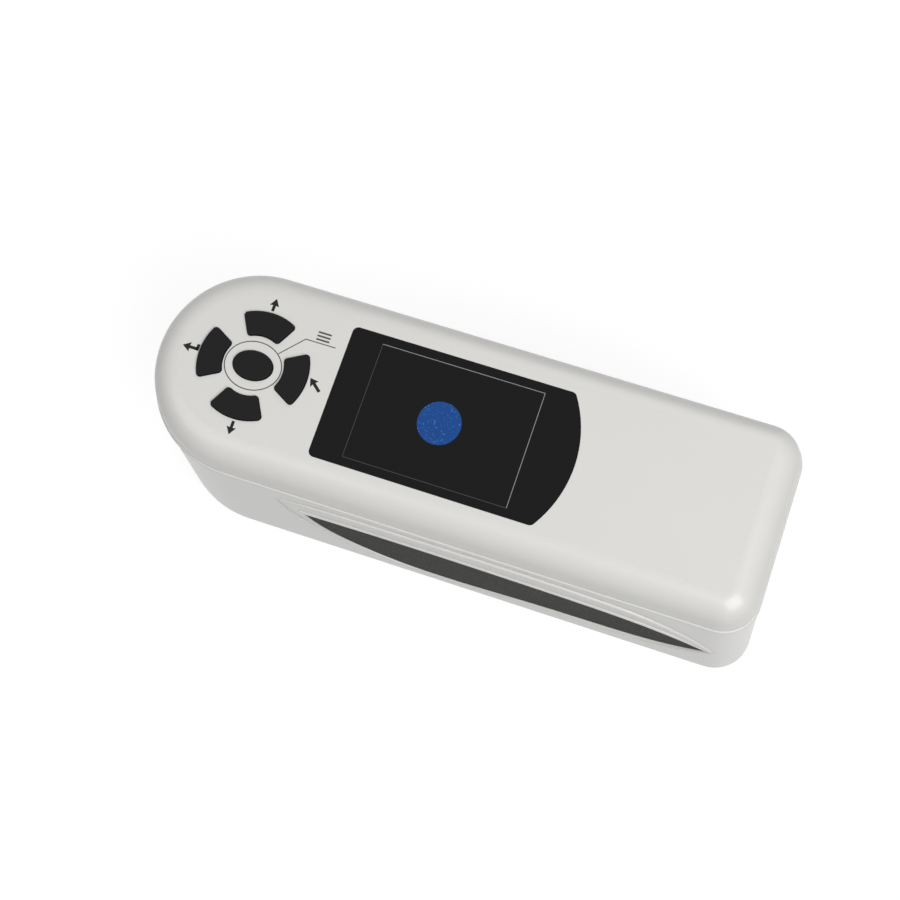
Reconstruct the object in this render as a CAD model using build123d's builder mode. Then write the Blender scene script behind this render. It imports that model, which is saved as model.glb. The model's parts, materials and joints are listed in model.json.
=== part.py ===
"""Handheld color meter: a tall rounded body that stands on its measuring nose and four rubber feet.

All sizes are millimetres. The origin is on the table under the middle of the body, +X runs to the
rear end, +Y to the far side and +Z up.
"""
import os
from math import cos, radians, sin

from build123d import *

# A distance along the body is measured from the nose, or from the rear end where it is negative

# Body outline, at the base and at the lip where the two shells meet
BODY_HALF_LENGTH = 112.3
BASE_HALF_WIDTH = 36.4
BASE_CORNER_RADIUS = 13.0
LIP_NOSE_SETBACK = 5.9
LIP_REAR_SETBACK = 3.1
LIP_HALF_WIDTH = 34.9
LIP_CORNER_RADIUS = 12.0

# Heights
FOOT_HEIGHT = 1.0
SKIRT_TOP = 3.2
BASE_EDGE_FILLET = 1.6
LIP_Z = 70.9
TOP_Z = 86.1
SEAM_GAP = 0.7

# Walls
LOWER_WALL = 3.0
CUT_REACH = 2.0
FLOOR_THICKNESS = 2.6
UPPER_WALL = 2.4
CROWN_TAPER = 7.0
CROWN_RADIUS = 9.5
CROWN_RADIUS_LIMIT = 0.64
TONGUE_OUTER_INSET = 1.5
TONGUE_HEIGHT = 2.0
SEAM_CLEARANCE = 0.2

# Side scoops and their rubber grips; leaf points are (distance along the body, height)
SCOOP_DEPTH = 0.5
GRIP_THICKNESS = 1.1
GRIP_STAND_BACK = 0.2
SCOOP_FRONT_TIP = (57.3, 58.0)
SCOOP_REAR_TIP = (-10.8, 31.0)
SCOOP_TOP = [(92.3, 62.6), (137.3, 63.4), (-40.3, 58.6)]
SCOOP_BOTTOM = [(-34.3, 14.2), (-72.3, 11.0), (98.3, 7.4), (75.3, 19.0)]
GRIP_FRONT_TIP = (64.3, 45.6)
GRIP_REAR_TIP = (-12.3, 30.0)
GRIP_TOP = [(100.3, 47.8), (-72.3, 46.4), (-37.3, 42.0)]
GRIP_BOTTOM = [(-35.3, 16.2), (-72.3, 12.8), (100.3, 9.2), (78.3, 19.6)]

# Window and screen
WINDOW_SETBACK = 69.4
WINDOW_STRAIGHT_LENGTH = 76.2
WINDOW_BOW = 7.0
WINDOW_SIDE_MARGIN = 0.95
WINDOW_CORNER_RADIUS = 2.0
WINDOW_THICKNESS = 1.3
WINDOW_GASKET = 0.3
WINDOW_CLEARANCE = 0.15
SCREEN_SETBACK = 8.4
SCREEN_LENGTH = 61.0
SCREEN_WIDTH = 44.0
SCREEN_THICKNESS = 3.2
SCREEN_EDGE = 0.4
SCREEN_FRAME_WALL = 1.6
SCREEN_FRAME_LEDGE = 2.0
SCREEN_GAP = 0.3
SIGHT_MARGIN = 1.5

# Keys
KEY_CENTRE_SETBACK = 41.7
KEY_INNER_RADIUS = 10.6
KEY_OUTER_RADIUS = 18.8
KEY_HALF_ANGLE = 29.0
KEY_DIRECTIONS = {"key_right": 0, "key_up": 90, "key_left": 180, "key_down": 270}
KEY_CORNER_RADIUS = 1.1
OK_KEY_LENGTH = 13.6
OK_KEY_WIDTH = 9.9
KEY_PROUD = 0.9
KEY_CLEARANCE = 0.3
KEY_FLANGE = 0.8
KEY_FLANGE_THICKNESS = 1.0
KEY_FLANGE_GAP = 0.3
KEY_TRAVEL = 0.6
KEY_EDGE_BEVEL = 0.35
KEY_STEM_RADIUS = 2.0
KEY_STEM_HEIGHT = 0.5
KEY_TRAVEL_MARGIN = 0.1
SWITCH_SIDE = 6.0
SWITCH_BODY_HEIGHT = 2.2
PLUNGER_RADIUS = 1.5
PLUNGER_HEIGHT = 0.9

# Boards and their posts
BOARD_THICKNESS = 1.6
KEY_BOARD_RADIUS = 25.0
KEY_POST_RADIUS = 2.3
DIAGONALS = (45, 135, 225, 315)
KEY_POST_PITCH_RADIUS = 21.5
MAIN_BOARD_SETBACK = 75.3
MAIN_BOARD_REAR_SETBACK = 24.3
MAIN_BOARD_HALF_WIDTH = 22.9
MAIN_POST_RADIUS = 2.8
MAIN_POST_SETBACKS = (145.8, -32.3)
MAIN_POST_Y = 18.5
MAIN_BOARD_CHIPS = [
    ((47.0, 0.0), 14.0, 14.0, 1.6),
    ((21.0, 9.0), 8.0, 5.0, 1.4),
    ((17.0, -12.0), 6.0, 4.0, 1.2),
    ((83.0, -8.0), 10.0, 10.0, 1.5),
    ((103.0, 6.0), 12.0, 7.0, 2.2),
]
BOARD_SCREW_RADIUS = 1.0
BOARD_SCREW_DEPTH = 5.0
BOARD_SCREW_HEAD_RADIUS = 1.9
BOARD_SCREW_HEAD_HEIGHT = 1.4
SCREW_FIT = 0.05
SCREW_SLOT_LENGTH_SHARE = 0.65
SCREW_SLOT_WIDTH_SHARE = 0.15
SCREW_TIP_GAP = 0.5
KEY_SCREW_BITE = 3.6

# Case screws, from below through long tubes
CASE_POST_RADIUS = 3.5
CASE_POST_PLACES = [(70.3, 27.0), (158.3, 27.0), (-20.3, 27.0)]
CASE_POST_MEET_Z = 60.0
CASE_SCREW_RADIUS = 1.4
CASE_SCREW_HOLE_RADIUS = 1.6
CASE_SCREW_HEAD_RADIUS = 2.6
CASE_SCREW_HEAD_HEIGHT = 2.2
CASE_SCREW_BORE_RADIUS = 2.8
CASE_SCREW_SEAT_Z = 52.0
CASE_SCREW_BITE = 9.0

# Feet
FOOT_RADIUS = 5.0
FOOT_RECESS = 0.8
FOOT_CLEARANCE = 0.1
FOOT_EDGE_RADIUS = 0.5
FOOT_PLACES = [(96.3, 26.0), (-38.3, 26.0)]

# Optical head over the measuring port
PORT_SETBACK = 38.3
PORT_RADIUS = 4.0
PORT_RING_RADIUS = 13.0
PORT_FLANGE_RADIUS = 17.0
PORT_FLANGE_THICKNESS = 1.6
PORT_RING_CLEARANCE = 0.2
PORT_RING_EDGE = 0.4
SPHERE_INNER_RADIUS = 18.0
SPHERE_WALL = 2.5
SPHERE_FLANGE_MARGIN = 2.9
SPHERE_FLANGE_THICKNESS = 2.5
SPHERE_SEAT_RADIUS = 9.0
SPHERE_SEAT_HEIGHT = 2.0
SPHERE_SEAT_OVERLAP = 1.0
SPHERE_PORT_RADIUS = 6.0
HEAD_SCREW_STANDOFF = 3.1
HEAD_POST_RADIUS = 2.6
LENS_TUBE_RADIUS = 7.0
LENS_TUBE_WALL = 1.5
LENS_TUBE_HEIGHT = 11.0
LENS_THICKNESS = 2.4
LENS_EDGE_RADIUS = 1.2
LENS_COLLAR_RADIUS = 9.5
SENSOR_BOARD_RADIUS = 12.0
SENSOR_SIDE = 7.0
SENSOR_HEIGHT = 1.4
LAMP_RADIUS = 2.5
LAMP_HEIGHT = 6.5
LAMP_PITCH_RADIUS = 12.5
LAMP_CLEARANCE = 0.1
LAMP_RIM_RADIUS = 2.9
LAMP_RIM_THICKNESS = 1.0
LAMP_PLATFORM_RADIUS = 16.0
LAMP_SEAT_RISE = 10.0
LAMP_COUNT = 6

# Battery bay, four size AA cells loaded from the rear
CELL_RADIUS = 7.1
CELL_LENGTH = 50.0
CELL_NUB_RADIUS = 2.7
CELL_NUB_LENGTH = 1.2
CELL_PITCH = 15.6
CELL_CLEARANCE = 0.3
CAGE_WALL = 1.8
CAGE_BACK_WALL = 2.0
CAGE_BOTTOM_Z = 12.0
CAGE_LEG_WIDTH = 4.0
CAGE_MOUTH_SETBACK = 2.0
CELL_EDGE_RADIUS = 0.6
SPRING_COIL_RADIUS = 3.0
SPRING_WIRE_RADIUS = 0.4
SPRING_LENGTH = 4.0
SPRING_PITCH = 1.1
SPRING_GAP = 0.1
CONTACT_THICKNESS = 0.4
CONTACT_WIDTH = 9.0
RIBBON_WIDTH = 10.0
RIBBON_LAP = 3.0
RIBBON_THICKNESS = 0.3

# Rear lid on its hinge pin
LID_HALF_WIDTH = 23.0
LID_BOTTOM_Z = 9.0
LID_TOP_Z = 49.0
LID_THICKNESS = 2.6
LID_CLEARANCE = 0.35
HINGE_SETBACK = 2.2
HINGE_PIN_RADIUS = 1.0
HINGE_RUNNING_CLEARANCE = 0.05
HINGE_BOSS_LENGTH = 4.0
HINGE_KNUCKLE_RADIUS = 2.2
HINGE_BOSS_SHIFT = 1.2
HINGE_PIN_REACH = 3.0
LID_PAD_DEPTH = 2.0
LID_NOTCH_DEPTH = 1.0
LID_NOTCH_DROP = 3.4
LID_NOTCH_LENGTH = 12.0
LID_NOTCH_WIDTH = 3.6

# Rear panel with switch and sockets
PANEL_BOTTOM_Z = 52.0
PANEL_TOP_Z = 67.0
PANEL_CLEARANCE = 0.15
PANEL_THICKNESS = 2.6
IO_BOARD_LENGTH = 24.0
IO_BOARD_HALF_WIDTH = 20.0
IO_POST_RADIUS = 2.4
IO_POST_Y = 14.0
IO_POST_INSET = 3.0
IO_MIDDLE_POST_X = 11.0
IO_MIDDLE_POST_Y = -2.0
IO_BOARD_RISE = 1.0
SWITCH_Y = -12.0
SWITCH_SLOT_LENGTH = 9.6
SWITCH_SLOT_HEIGHT = 4.2
SWITCH_TRAVEL = 4.0
SWITCH_KNOB_HEIGHT = 3.4
SWITCH_KNOB_SINK = 0.3
SWITCH_BODY_LENGTH = 13.0
SWITCH_BODY_DEPTH = 6.0
KNOB_FLANGE_THICKNESS = 0.8
KNOB_RIB_PITCH = 1.5
KNOB_RIB_WIDTH = 0.5
USB_Y = 2.0
USB_WIDTH = 7.7
USB_HEIGHT = 3.9
USB_DEPTH = 9.2
USB_SHEET = 0.4
USB_SOCKET_DEPTH = 7.0
USB_TONGUE_WIDTH = 5.0
USB_TONGUE_HEIGHT = 1.2
JACK_Y = 13.0
JACK_SIDE = 9.0
JACK_BORE_RADIUS = 3.0
JACK_PIN_RADIUS = 1.0
JACK_DEPTH = 13.0
JACK_BORE_DEPTH = 10.0
SOCKET_CLEARANCE = 0.3



def along(distance):
    """Turns a distance from the nose, or a negative one from the rear end, into an x."""
    return distance - BODY_HALF_LENGTH if distance > 0 else distance + BODY_HALF_LENGTH


# Places along the body that follow from the sizes above
window_front_x = along(WINDOW_SETBACK)
window_straight_end_x = window_front_x + WINDOW_STRAIGHT_LENGTH
window_half_width = SCREEN_WIDTH / 2 + WINDOW_SIDE_MARGIN
screen_centre_x = window_front_x + SCREEN_SETBACK + SCREEN_LENGTH / 2
key_centre_x = along(KEY_CENTRE_SETBACK)
main_board_front_x = along(MAIN_BOARD_SETBACK)
main_board_rear_x = along(-MAIN_BOARD_REAR_SETBACK)
port_x = along(PORT_SETBACK)

# Heights that follow from the sizes above
floor_z = FOOT_HEIGHT + FLOOR_THICKNESS
ceiling_z = TOP_Z - UPPER_WALL
crown_radius = min(CROWN_RADIUS, CROWN_RADIUS_LIMIT * (TOP_Z - LIP_Z))
rim_z = LIP_Z - SEAM_GAP
tongue_top_z = LIP_Z + TONGUE_HEIGHT
window_seat_z = TOP_Z - WINDOW_THICKNESS - WINDOW_GASKET
key_top_z = TOP_Z + KEY_PROUD
flange_top_z = ceiling_z - KEY_FLANGE_GAP
flange_bottom_z = flange_top_z - KEY_FLANGE_THICKNESS
plunger_top_z = flange_bottom_z - KEY_STEM_HEIGHT - KEY_TRAVEL - KEY_TRAVEL_MARGIN
key_board_top_z = plunger_top_z - PLUNGER_HEIGHT - SWITCH_BODY_HEIGHT
key_board_z = key_board_top_z - BOARD_THICKNESS
screen_top_z = ceiling_z - SCREEN_GAP
screen_z = screen_top_z - SCREEN_THICKNESS
main_board_top_z = screen_z - SCREEN_FRAME_LEDGE
main_board_z = main_board_top_z - BOARD_THICKNESS
port_ring_top_z = floor_z + PORT_FLANGE_THICKNESS
sphere_seat_top_z = port_ring_top_z + SPHERE_SEAT_HEIGHT
sphere_centre_z = sphere_seat_top_z + (SPHERE_INNER_RADIUS**2 - SPHERE_PORT_RADIUS**2) ** 0.5
sphere_outer_radius = SPHERE_INNER_RADIUS + SPHERE_WALL
head_screw_pitch_radius = sphere_outer_radius + HEAD_SCREW_STANDOFF
sphere_flange_radius = head_screw_pitch_radius + SPHERE_FLANGE_MARGIN
tube_base_z = sphere_centre_z + SPHERE_INNER_RADIUS
sensor_board_z = tube_base_z + LENS_TUBE_HEIGHT
cage_height = 2 * (CELL_RADIUS + CELL_CLEARANCE + CAGE_WALL) + CELL_PITCH
cage_half_width = cage_height / 2
cage_top_z = CAGE_BOTTOM_Z + cage_height
cell_middle_z = CAGE_BOTTOM_Z + cage_height / 2
hinge_z = LID_BOTTOM_Z + HINGE_KNUCKLE_RADIUS
io_board_z = PANEL_BOTTOM_Z + IO_BOARD_RISE
io_board_top_z = io_board_z + BOARD_THICKNESS


def outline_values(z, inset):
    """Gives nose x, rear x, half width and corner radius of the body outline at a height."""
    lean = max(z - SKIRT_TOP, 0) / (LIP_Z - SKIRT_TOP)
    nose_x = -BODY_HALF_LENGTH + LIP_NOSE_SETBACK * lean + inset
    rear_x = BODY_HALF_LENGTH - LIP_REAR_SETBACK * lean - inset
    half_width = BASE_HALF_WIDTH + (LIP_HALF_WIDTH - BASE_HALF_WIDTH) * lean - inset
    corner = BASE_CORNER_RADIUS + (LIP_CORNER_RADIUS - BASE_CORNER_RADIUS) * lean - inset
    return nose_x, rear_x, half_width, corner


def outline(z, inset=0.0):
    """Makes the body outline of a height: round nose, straight sides, round rear corners."""
    nose_x, rear_x, half_width, corner = outline_values(z, inset)
    nose_centre_x = nose_x + half_width
    corner_x = rear_x - corner
    with BuildSketch() as sketch:
        with BuildLine():
            CenterArc((nose_centre_x, 0), half_width, 90, 180)
            Line((nose_centre_x, -half_width), (corner_x, -half_width))
            CenterArc((corner_x, -half_width + corner), corner, -90, 90)
            Line((rear_x, -half_width + corner), (rear_x, half_width - corner))
            CenterArc((corner_x, half_width - corner), corner, 0, 90)
            Line((corner_x, half_width), (nose_centre_x, half_width))
        make_face()
    return sketch.sketch


def leaning_body(bottom_z, top_z, inset):
    """Makes the leaning lower body between two heights, inset from its outer face."""
    with BuildPart() as body:
        with BuildSketch(Plane.XY.offset(bottom_z)):
            add(outline(bottom_z, inset))
        with BuildSketch(Plane.XY.offset(top_z)):
            add(outline(top_z, inset))
        loft(ruled=True)
    return body.part


def crown(top_z, inset, radius):
    """Makes the domed upper body from the lip to a height, with its soft top edge."""
    with BuildPart() as body:
        with BuildSketch(Plane.XY.offset(LIP_Z)):
            add(outline(LIP_Z, inset))
        extrude(amount=top_z - LIP_Z, taper=CROWN_TAPER)
        fillet(edges().group_by(Axis.Z)[-1], radius)
    return body.part


def placed(points):
    """Puts points that hold a distance along the body at their x."""
    return [(along(distance), across) for distance, across in points]


def leaf(front_tip, rear_tip, top_points, bottom_points):
    """Makes a leaf with two curved edges that meet at its tips."""
    with BuildSketch() as sketch:
        with BuildLine():
            Spline(placed([front_tip, *top_points, rear_tip]))
            Spline(placed([rear_tip, *bottom_points, front_tip]))
        make_face()
    return sketch.sketch


def window_outline(clearance=0.0):
    """Makes the window outline: square front end, straight sides and a bowed rear end."""
    front_x = window_front_x - clearance
    half_width = window_half_width + clearance
    with BuildSketch() as sketch:
        with BuildLine():
            Polyline(
                (window_straight_end_x, half_width),
                (front_x, half_width),
                (front_x, -half_width),
                (window_straight_end_x, -half_width),
            )
            ThreePointArc(
                (window_straight_end_x, -half_width),
                (window_straight_end_x + WINDOW_BOW + clearance, 0),
                (window_straight_end_x, half_width),
            )
        make_face()
        fillet(vertices(), WINDOW_CORNER_RADIUS)
    return sketch.sketch


def arc_key_outline(direction, margin=0.0):
    """Makes the outline of a curved key round the centre key, grown by a margin."""
    inner = KEY_INNER_RADIUS
    outer = KEY_OUTER_RADIUS
    start = radians(direction - KEY_HALF_ANGLE)
    end = radians(direction + KEY_HALF_ANGLE)
    middle = radians(direction)

    def point(radius, angle):
        return (key_centre_x + radius * cos(angle), radius * sin(angle))

    with BuildSketch() as sketch:
        with BuildLine():
            ThreePointArc(point(inner, start), point(inner, middle), point(inner, end))
            Line(point(inner, end), point(outer, end))
            ThreePointArc(point(outer, end), point(outer, middle), point(outer, start))
            Line(point(outer, start), point(inner, start))
        make_face()
        fillet(vertices(), KEY_CORNER_RADIUS)
        if margin:
            offset(amount=margin)
    return sketch.sketch


def ok_key_outline(margin=0.0):
    """Makes the oval outline of the centre key, grown by a margin."""
    with BuildSketch() as sketch:
        with Locations((key_centre_x, 0)):
            Ellipse(OK_KEY_LENGTH / 2 + margin, OK_KEY_WIDTH / 2 + margin)
    return sketch.sketch


def rear_block(half_width, bottom_z, top_z):
    """Makes a block that stands through the rear wall."""
    depth = LIP_REAR_SETBACK + LOWER_WALL + 2 * CUT_REACH
    with BuildPart() as block:
        with BuildSketch(Plane.YZ.offset(BODY_HALF_LENGTH - depth)):
            with Locations((0, (bottom_z + top_z) / 2)):
                Rectangle(2 * half_width, top_z - bottom_z)
        extrude(amount=2 * depth)
    return block.part


def wall_skin(bottom_z, top_z, thickness):
    """Makes the outer skin of the leaning wall between two heights."""
    with BuildPart() as skin:
        add(leaning_body(bottom_z, top_z, 0))
        add(leaning_body(bottom_z, top_z, thickness), mode=Mode.SUBTRACT)
    return skin.part


def side_leaf_block(leaf_values, inset, side):
    """Makes the block that cuts a leaf into one side wall, down to an inset face."""
    with BuildPart() as block:
        with BuildSketch(Plane.XZ.offset(-side * (BASE_HALF_WIDTH + CUT_REACH))):
            add(leaf(*leaf_values))
        extrude(amount=side * (CUT_REACH + 2 * LOWER_WALL))
        add(leaning_body(SKIRT_TOP, rim_z, inset), mode=Mode.SUBTRACT)
    return block.part


def pillars(places, radius, bottom_z, top_z):
    """Makes one upright cylinder at each place."""
    with BuildPart() as group:
        with BuildSketch(Plane.XY.offset(bottom_z)):
            with Locations(*places):
                Circle(radius)
        extrude(amount=top_z - bottom_z)
    return group.part


def headed_screws(places, radius, tip_z, head_z, head_radius, head_height):
    """Makes one screw at each place, with its round cross-slotted head on the side away from the tip."""
    out = -1 if tip_z > head_z else 1
    slot_length = 2 * SCREW_SLOT_LENGTH_SHARE * head_radius
    slot_width = 2 * SCREW_SLOT_WIDTH_SHARE * head_radius
    with BuildPart() as group:
        add(pillars(places, radius - SCREW_FIT, head_z, tip_z))
        add(pillars(places, head_radius, head_z, head_z + out * head_height))
        with BuildSketch(Plane.XY.offset(head_z + out * head_height)):
            with Locations(*places):
                Rectangle(slot_length, slot_width)
                Rectangle(slot_width, slot_length)
        extrude(amount=-out * head_height / 2, mode=Mode.SUBTRACT)
    return group.part


def mirrored(places):
    """Gives each place on both sides of the body."""
    return [(x, side * y) for x, y in places for side in (-1, 1)]


def ring_places(centre_x, radius, angles):
    """Gives places on a circle about a point of the body's middle line."""
    return [(centre_x + radius * cos(radians(a)), radius * sin(radians(a))) for a in angles]


def rear_face_x(z):
    """Gives the outer face of the rear wall at a height."""
    return outline_values(z, 0)[1]


key_middle_radius = (KEY_INNER_RADIUS + KEY_OUTER_RADIUS) / 2
key_places = [(key_centre_x, 0)] + ring_places(key_centre_x, key_middle_radius, KEY_DIRECTIONS.values())
key_post_places = ring_places(key_centre_x, KEY_POST_PITCH_RADIUS, DIAGONALS)
main_post_places = mirrored(placed((distance, MAIN_POST_Y) for distance in MAIN_POST_SETBACKS))
case_post_places = mirrored(placed(CASE_POST_PLACES))
foot_places = mirrored(placed(FOOT_PLACES))
head_screw_places = ring_places(port_x, head_screw_pitch_radius, DIAGONALS)
cell_places = [(y, z) for y in (-CELL_PITCH / 2, CELL_PITCH / 2)
               for z in (cell_middle_z - CELL_PITCH / 2, cell_middle_z + CELL_PITCH / 2)]
hinge_x = rear_face_x(hinge_z) - HINGE_SETBACK
lid_inner_x = rear_face_x(LID_TOP_Z) - LID_THICKNESS
contact_x = lid_inner_x - CONTACT_THICKNESS
cell_rear_x = contact_x - CELL_NUB_LENGTH - CELL_CLEARANCE
cell_front_x = cell_rear_x - CELL_LENGTH
cage_back_x = cell_front_x - SPRING_LENGTH
cage_front_x = cage_back_x - CAGE_BACK_WALL
cage_rear_x = cell_rear_x - CAGE_MOUTH_SETBACK
panel_inner_x = rear_face_x(PANEL_TOP_Z) - PANEL_THICKNESS
io_board_rear_x = panel_inner_x - CELL_CLEARANCE
io_board_front_x = io_board_rear_x - IO_BOARD_LENGTH
head_post_top_z = sphere_centre_z - SPHERE_FLANGE_THICKNESS
scoop_leaf = (SCOOP_FRONT_TIP, SCOOP_REAR_TIP, SCOOP_TOP, SCOOP_BOTTOM)
grip_leaf = (GRIP_FRONT_TIP, GRIP_REAR_TIP, GRIP_TOP, GRIP_BOTTOM)
grip_outer_inset = SCOOP_DEPTH + GRIP_STAND_BACK
grip_floor_inset = grip_outer_inset + GRIP_THICKNESS

os.makedirs("parts", exist_ok=True)

# Lower shell: leaning walls, skirt, floor, screw tubes, hinge bosses and side pockets
with BuildPart() as lower_shell:
    with BuildSketch(Plane.XY.offset(FOOT_HEIGHT)):
        add(outline(SKIRT_TOP))
    extrude(amount=SKIRT_TOP - FOOT_HEIGHT)
    fillet(edges().group_by(Axis.Z)[0], BASE_EDGE_FILLET)
    add(leaning_body(SKIRT_TOP, rim_z, 0))
    add(leaning_body(rim_z, tongue_top_z, TONGUE_OUTER_INSET))
    add(leaning_body(floor_z, tongue_top_z, LOWER_WALL), mode=Mode.SUBTRACT)
    add(pillars(case_post_places, CASE_POST_RADIUS, FOOT_HEIGHT, CASE_POST_MEET_Z))
    add(pillars(head_screw_places, HEAD_POST_RADIUS, FOOT_HEIGHT, head_post_top_z))
    add(pillars(case_post_places, CASE_SCREW_BORE_RADIUS, FOOT_HEIGHT, CASE_SCREW_SEAT_Z), mode=Mode.SUBTRACT)
    add(pillars(case_post_places, CASE_SCREW_HOLE_RADIUS, CASE_SCREW_SEAT_Z, CASE_POST_MEET_Z),
        mode=Mode.SUBTRACT)
    add(pillars(head_screw_places, BOARD_SCREW_RADIUS, head_post_top_z - BOARD_SCREW_DEPTH, head_post_top_z),
        mode=Mode.SUBTRACT)
    add(pillars([(port_x, 0)], PORT_RING_RADIUS + PORT_RING_CLEARANCE, FOOT_HEIGHT, floor_z),
        mode=Mode.SUBTRACT)
    add(pillars(foot_places, FOOT_RADIUS, FOOT_HEIGHT, FOOT_HEIGHT + FOOT_RECESS), mode=Mode.SUBTRACT)
    # Openings of the rear wall, then the two hinge bosses beside the lid
    add(rear_block(LID_HALF_WIDTH, LID_BOTTOM_Z - LID_CLEARANCE, LID_TOP_Z), mode=Mode.SUBTRACT)
    add(rear_block(LID_HALF_WIDTH, PANEL_BOTTOM_Z, PANEL_TOP_Z), mode=Mode.SUBTRACT)
    for side in (-1, 1):
        with BuildSketch(Plane.XZ.offset(-side * LID_HALF_WIDTH)):
            with Locations((hinge_x - HINGE_BOSS_SHIFT, hinge_z)):
                Rectangle(2 * (HINGE_KNUCKLE_RADIUS + HINGE_BOSS_SHIFT / 2), 2 * HINGE_KNUCKLE_RADIUS)
        extrude(amount=-side * HINGE_BOSS_LENGTH)
    with BuildSketch(Plane.XZ):
        with Locations((hinge_x, hinge_z)):
            Circle(HINGE_PIN_RADIUS + HINGE_RUNNING_CLEARANCE)
    extrude(amount=LID_HALF_WIDTH + HINGE_PIN_REACH, both=True, mode=Mode.SUBTRACT)
    # Side scoops with the deeper grip pockets in them
    for side in (-1, 1):
        add(side_leaf_block(scoop_leaf, SCOOP_DEPTH, side), mode=Mode.SUBTRACT)
        add(side_leaf_block(grip_leaf, grip_floor_inset, side), mode=Mode.SUBTRACT)
lower_shell.part.label = "lower_shell"
export_step(lower_shell.part, "parts/lower_shell.step")

# Rubber grips in the side pockets
for name, side in (("near_side_grip", -1), ("far_side_grip", 1)):
    with BuildPart() as side_grip:
        add(side_leaf_block(grip_leaf, grip_floor_inset, side))
        add(leaning_body(SKIRT_TOP, rim_z, grip_outer_inset), mode=Mode.INTERSECT)
    side_grip.part.label = name
    export_step(side_grip.part, f"parts/{name}.step")

# Upper ends of the case posts, which run into the middle of the crown's wall
with BuildPart() as crown_posts:
    add(pillars(case_post_places, CASE_POST_RADIUS, LIP_Z, ceiling_z))
    add(crown(TOP_Z - UPPER_WALL / 2, UPPER_WALL / 2, crown_radius - UPPER_WALL / 2), mode=Mode.INTERSECT)

# Upper shell: domed crown with the window seat, the key holes and the posts under it
with BuildPart() as upper_shell:
    add(crown(TOP_Z, 0, crown_radius))
    add(crown(ceiling_z, UPPER_WALL, crown_radius - UPPER_WALL), mode=Mode.SUBTRACT)
    add(leaning_body(LIP_Z, tongue_top_z, TONGUE_OUTER_INSET - SEAM_CLEARANCE), mode=Mode.SUBTRACT)
    with BuildSketch(Plane.XY.offset(window_seat_z)):
        add(window_outline(WINDOW_CLEARANCE))
    extrude(amount=UPPER_WALL, mode=Mode.SUBTRACT)
    with BuildSketch(Plane.XY.offset(ceiling_z)):
        with Locations((screen_centre_x, 0)):
            Rectangle(SCREEN_LENGTH - 2 * SIGHT_MARGIN, SCREEN_WIDTH - 2 * SIGHT_MARGIN)
    extrude(amount=UPPER_WALL, mode=Mode.SUBTRACT)
    with BuildSketch(Plane.XY.offset(ceiling_z)):
        add(ok_key_outline(KEY_CLEARANCE))
        for direction in KEY_DIRECTIONS.values():
            add(arc_key_outline(direction, KEY_CLEARANCE))
    extrude(amount=UPPER_WALL, mode=Mode.SUBTRACT)
    add(pillars(case_post_places, CASE_POST_RADIUS, CASE_POST_MEET_Z, LIP_Z))
    add(crown_posts.part)
    add(pillars(main_post_places, MAIN_POST_RADIUS, main_board_top_z, ceiling_z))
    add(pillars(key_post_places, KEY_POST_RADIUS, key_board_top_z, ceiling_z))
    add(pillars(case_post_places, CASE_SCREW_RADIUS, CASE_POST_MEET_Z, CASE_POST_MEET_Z + CASE_SCREW_BITE),
        mode=Mode.SUBTRACT)
    add(pillars(main_post_places, BOARD_SCREW_RADIUS, main_board_top_z, main_board_top_z + BOARD_SCREW_DEPTH),
        mode=Mode.SUBTRACT)
    add(pillars(key_post_places, BOARD_SCREW_RADIUS, key_board_top_z, key_board_top_z + KEY_SCREW_BITE),
        mode=Mode.SUBTRACT)
upper_shell.part.label = "upper_shell"
export_step(upper_shell.part, "parts/upper_shell.step")

# Window, its adhesive gasket, the screen and the frame that holds it
with BuildPart() as display_window:
    with BuildSketch(Plane.XY.offset(TOP_Z - WINDOW_THICKNESS)):
        add(window_outline())
    extrude(amount=WINDOW_THICKNESS)
display_window.part.label = "display_window"
export_step(display_window.part, "parts/display_window.step")

with BuildPart() as window_gasket:
    with BuildSketch(Plane.XY.offset(window_seat_z)):
        add(window_outline(-WINDOW_CLEARANCE))
        with Locations((screen_centre_x, 0)):
            Rectangle(SCREEN_LENGTH - SIGHT_MARGIN, SCREEN_WIDTH - SIGHT_MARGIN, mode=Mode.SUBTRACT)
    extrude(amount=WINDOW_GASKET)
window_gasket.part.label = "window_gasket"
export_step(window_gasket.part, "parts/window_gasket.step")

with BuildPart() as screen_module:
    with BuildSketch(Plane.XY.offset(screen_z)):
        with Locations((screen_centre_x, 0)):
            Rectangle(SCREEN_LENGTH, SCREEN_WIDTH)
    extrude(amount=SCREEN_THICKNESS)
    chamfer(edges().group_by(Axis.Z)[-1], SCREEN_EDGE)
screen_module.part.label = "screen_module"
export_step(screen_module.part, "parts/screen_module.step")

with BuildPart() as screen_frame:
    with BuildSketch(Plane.XY.offset(main_board_top_z)):
        with Locations((screen_centre_x, 0)):
            Rectangle(SCREEN_LENGTH + 2 * SCREEN_FRAME_WALL, SCREEN_WIDTH + 2 * SCREEN_FRAME_WALL)
            Rectangle(SCREEN_LENGTH - 2 * SCREEN_FRAME_LEDGE, SCREEN_WIDTH - 2 * SCREEN_FRAME_LEDGE,
                      mode=Mode.SUBTRACT)
    extrude(amount=ceiling_z - main_board_top_z)
    with BuildSketch(Plane.XY.offset(screen_z)):
        with Locations((screen_centre_x, 0)):
            Rectangle(SCREEN_LENGTH + SCREEN_GAP, SCREEN_WIDTH + SCREEN_GAP)
    extrude(amount=ceiling_z - screen_z, mode=Mode.SUBTRACT)
screen_frame.part.label = "screen_frame"
export_step(screen_frame.part, "parts/screen_frame.step")


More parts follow.
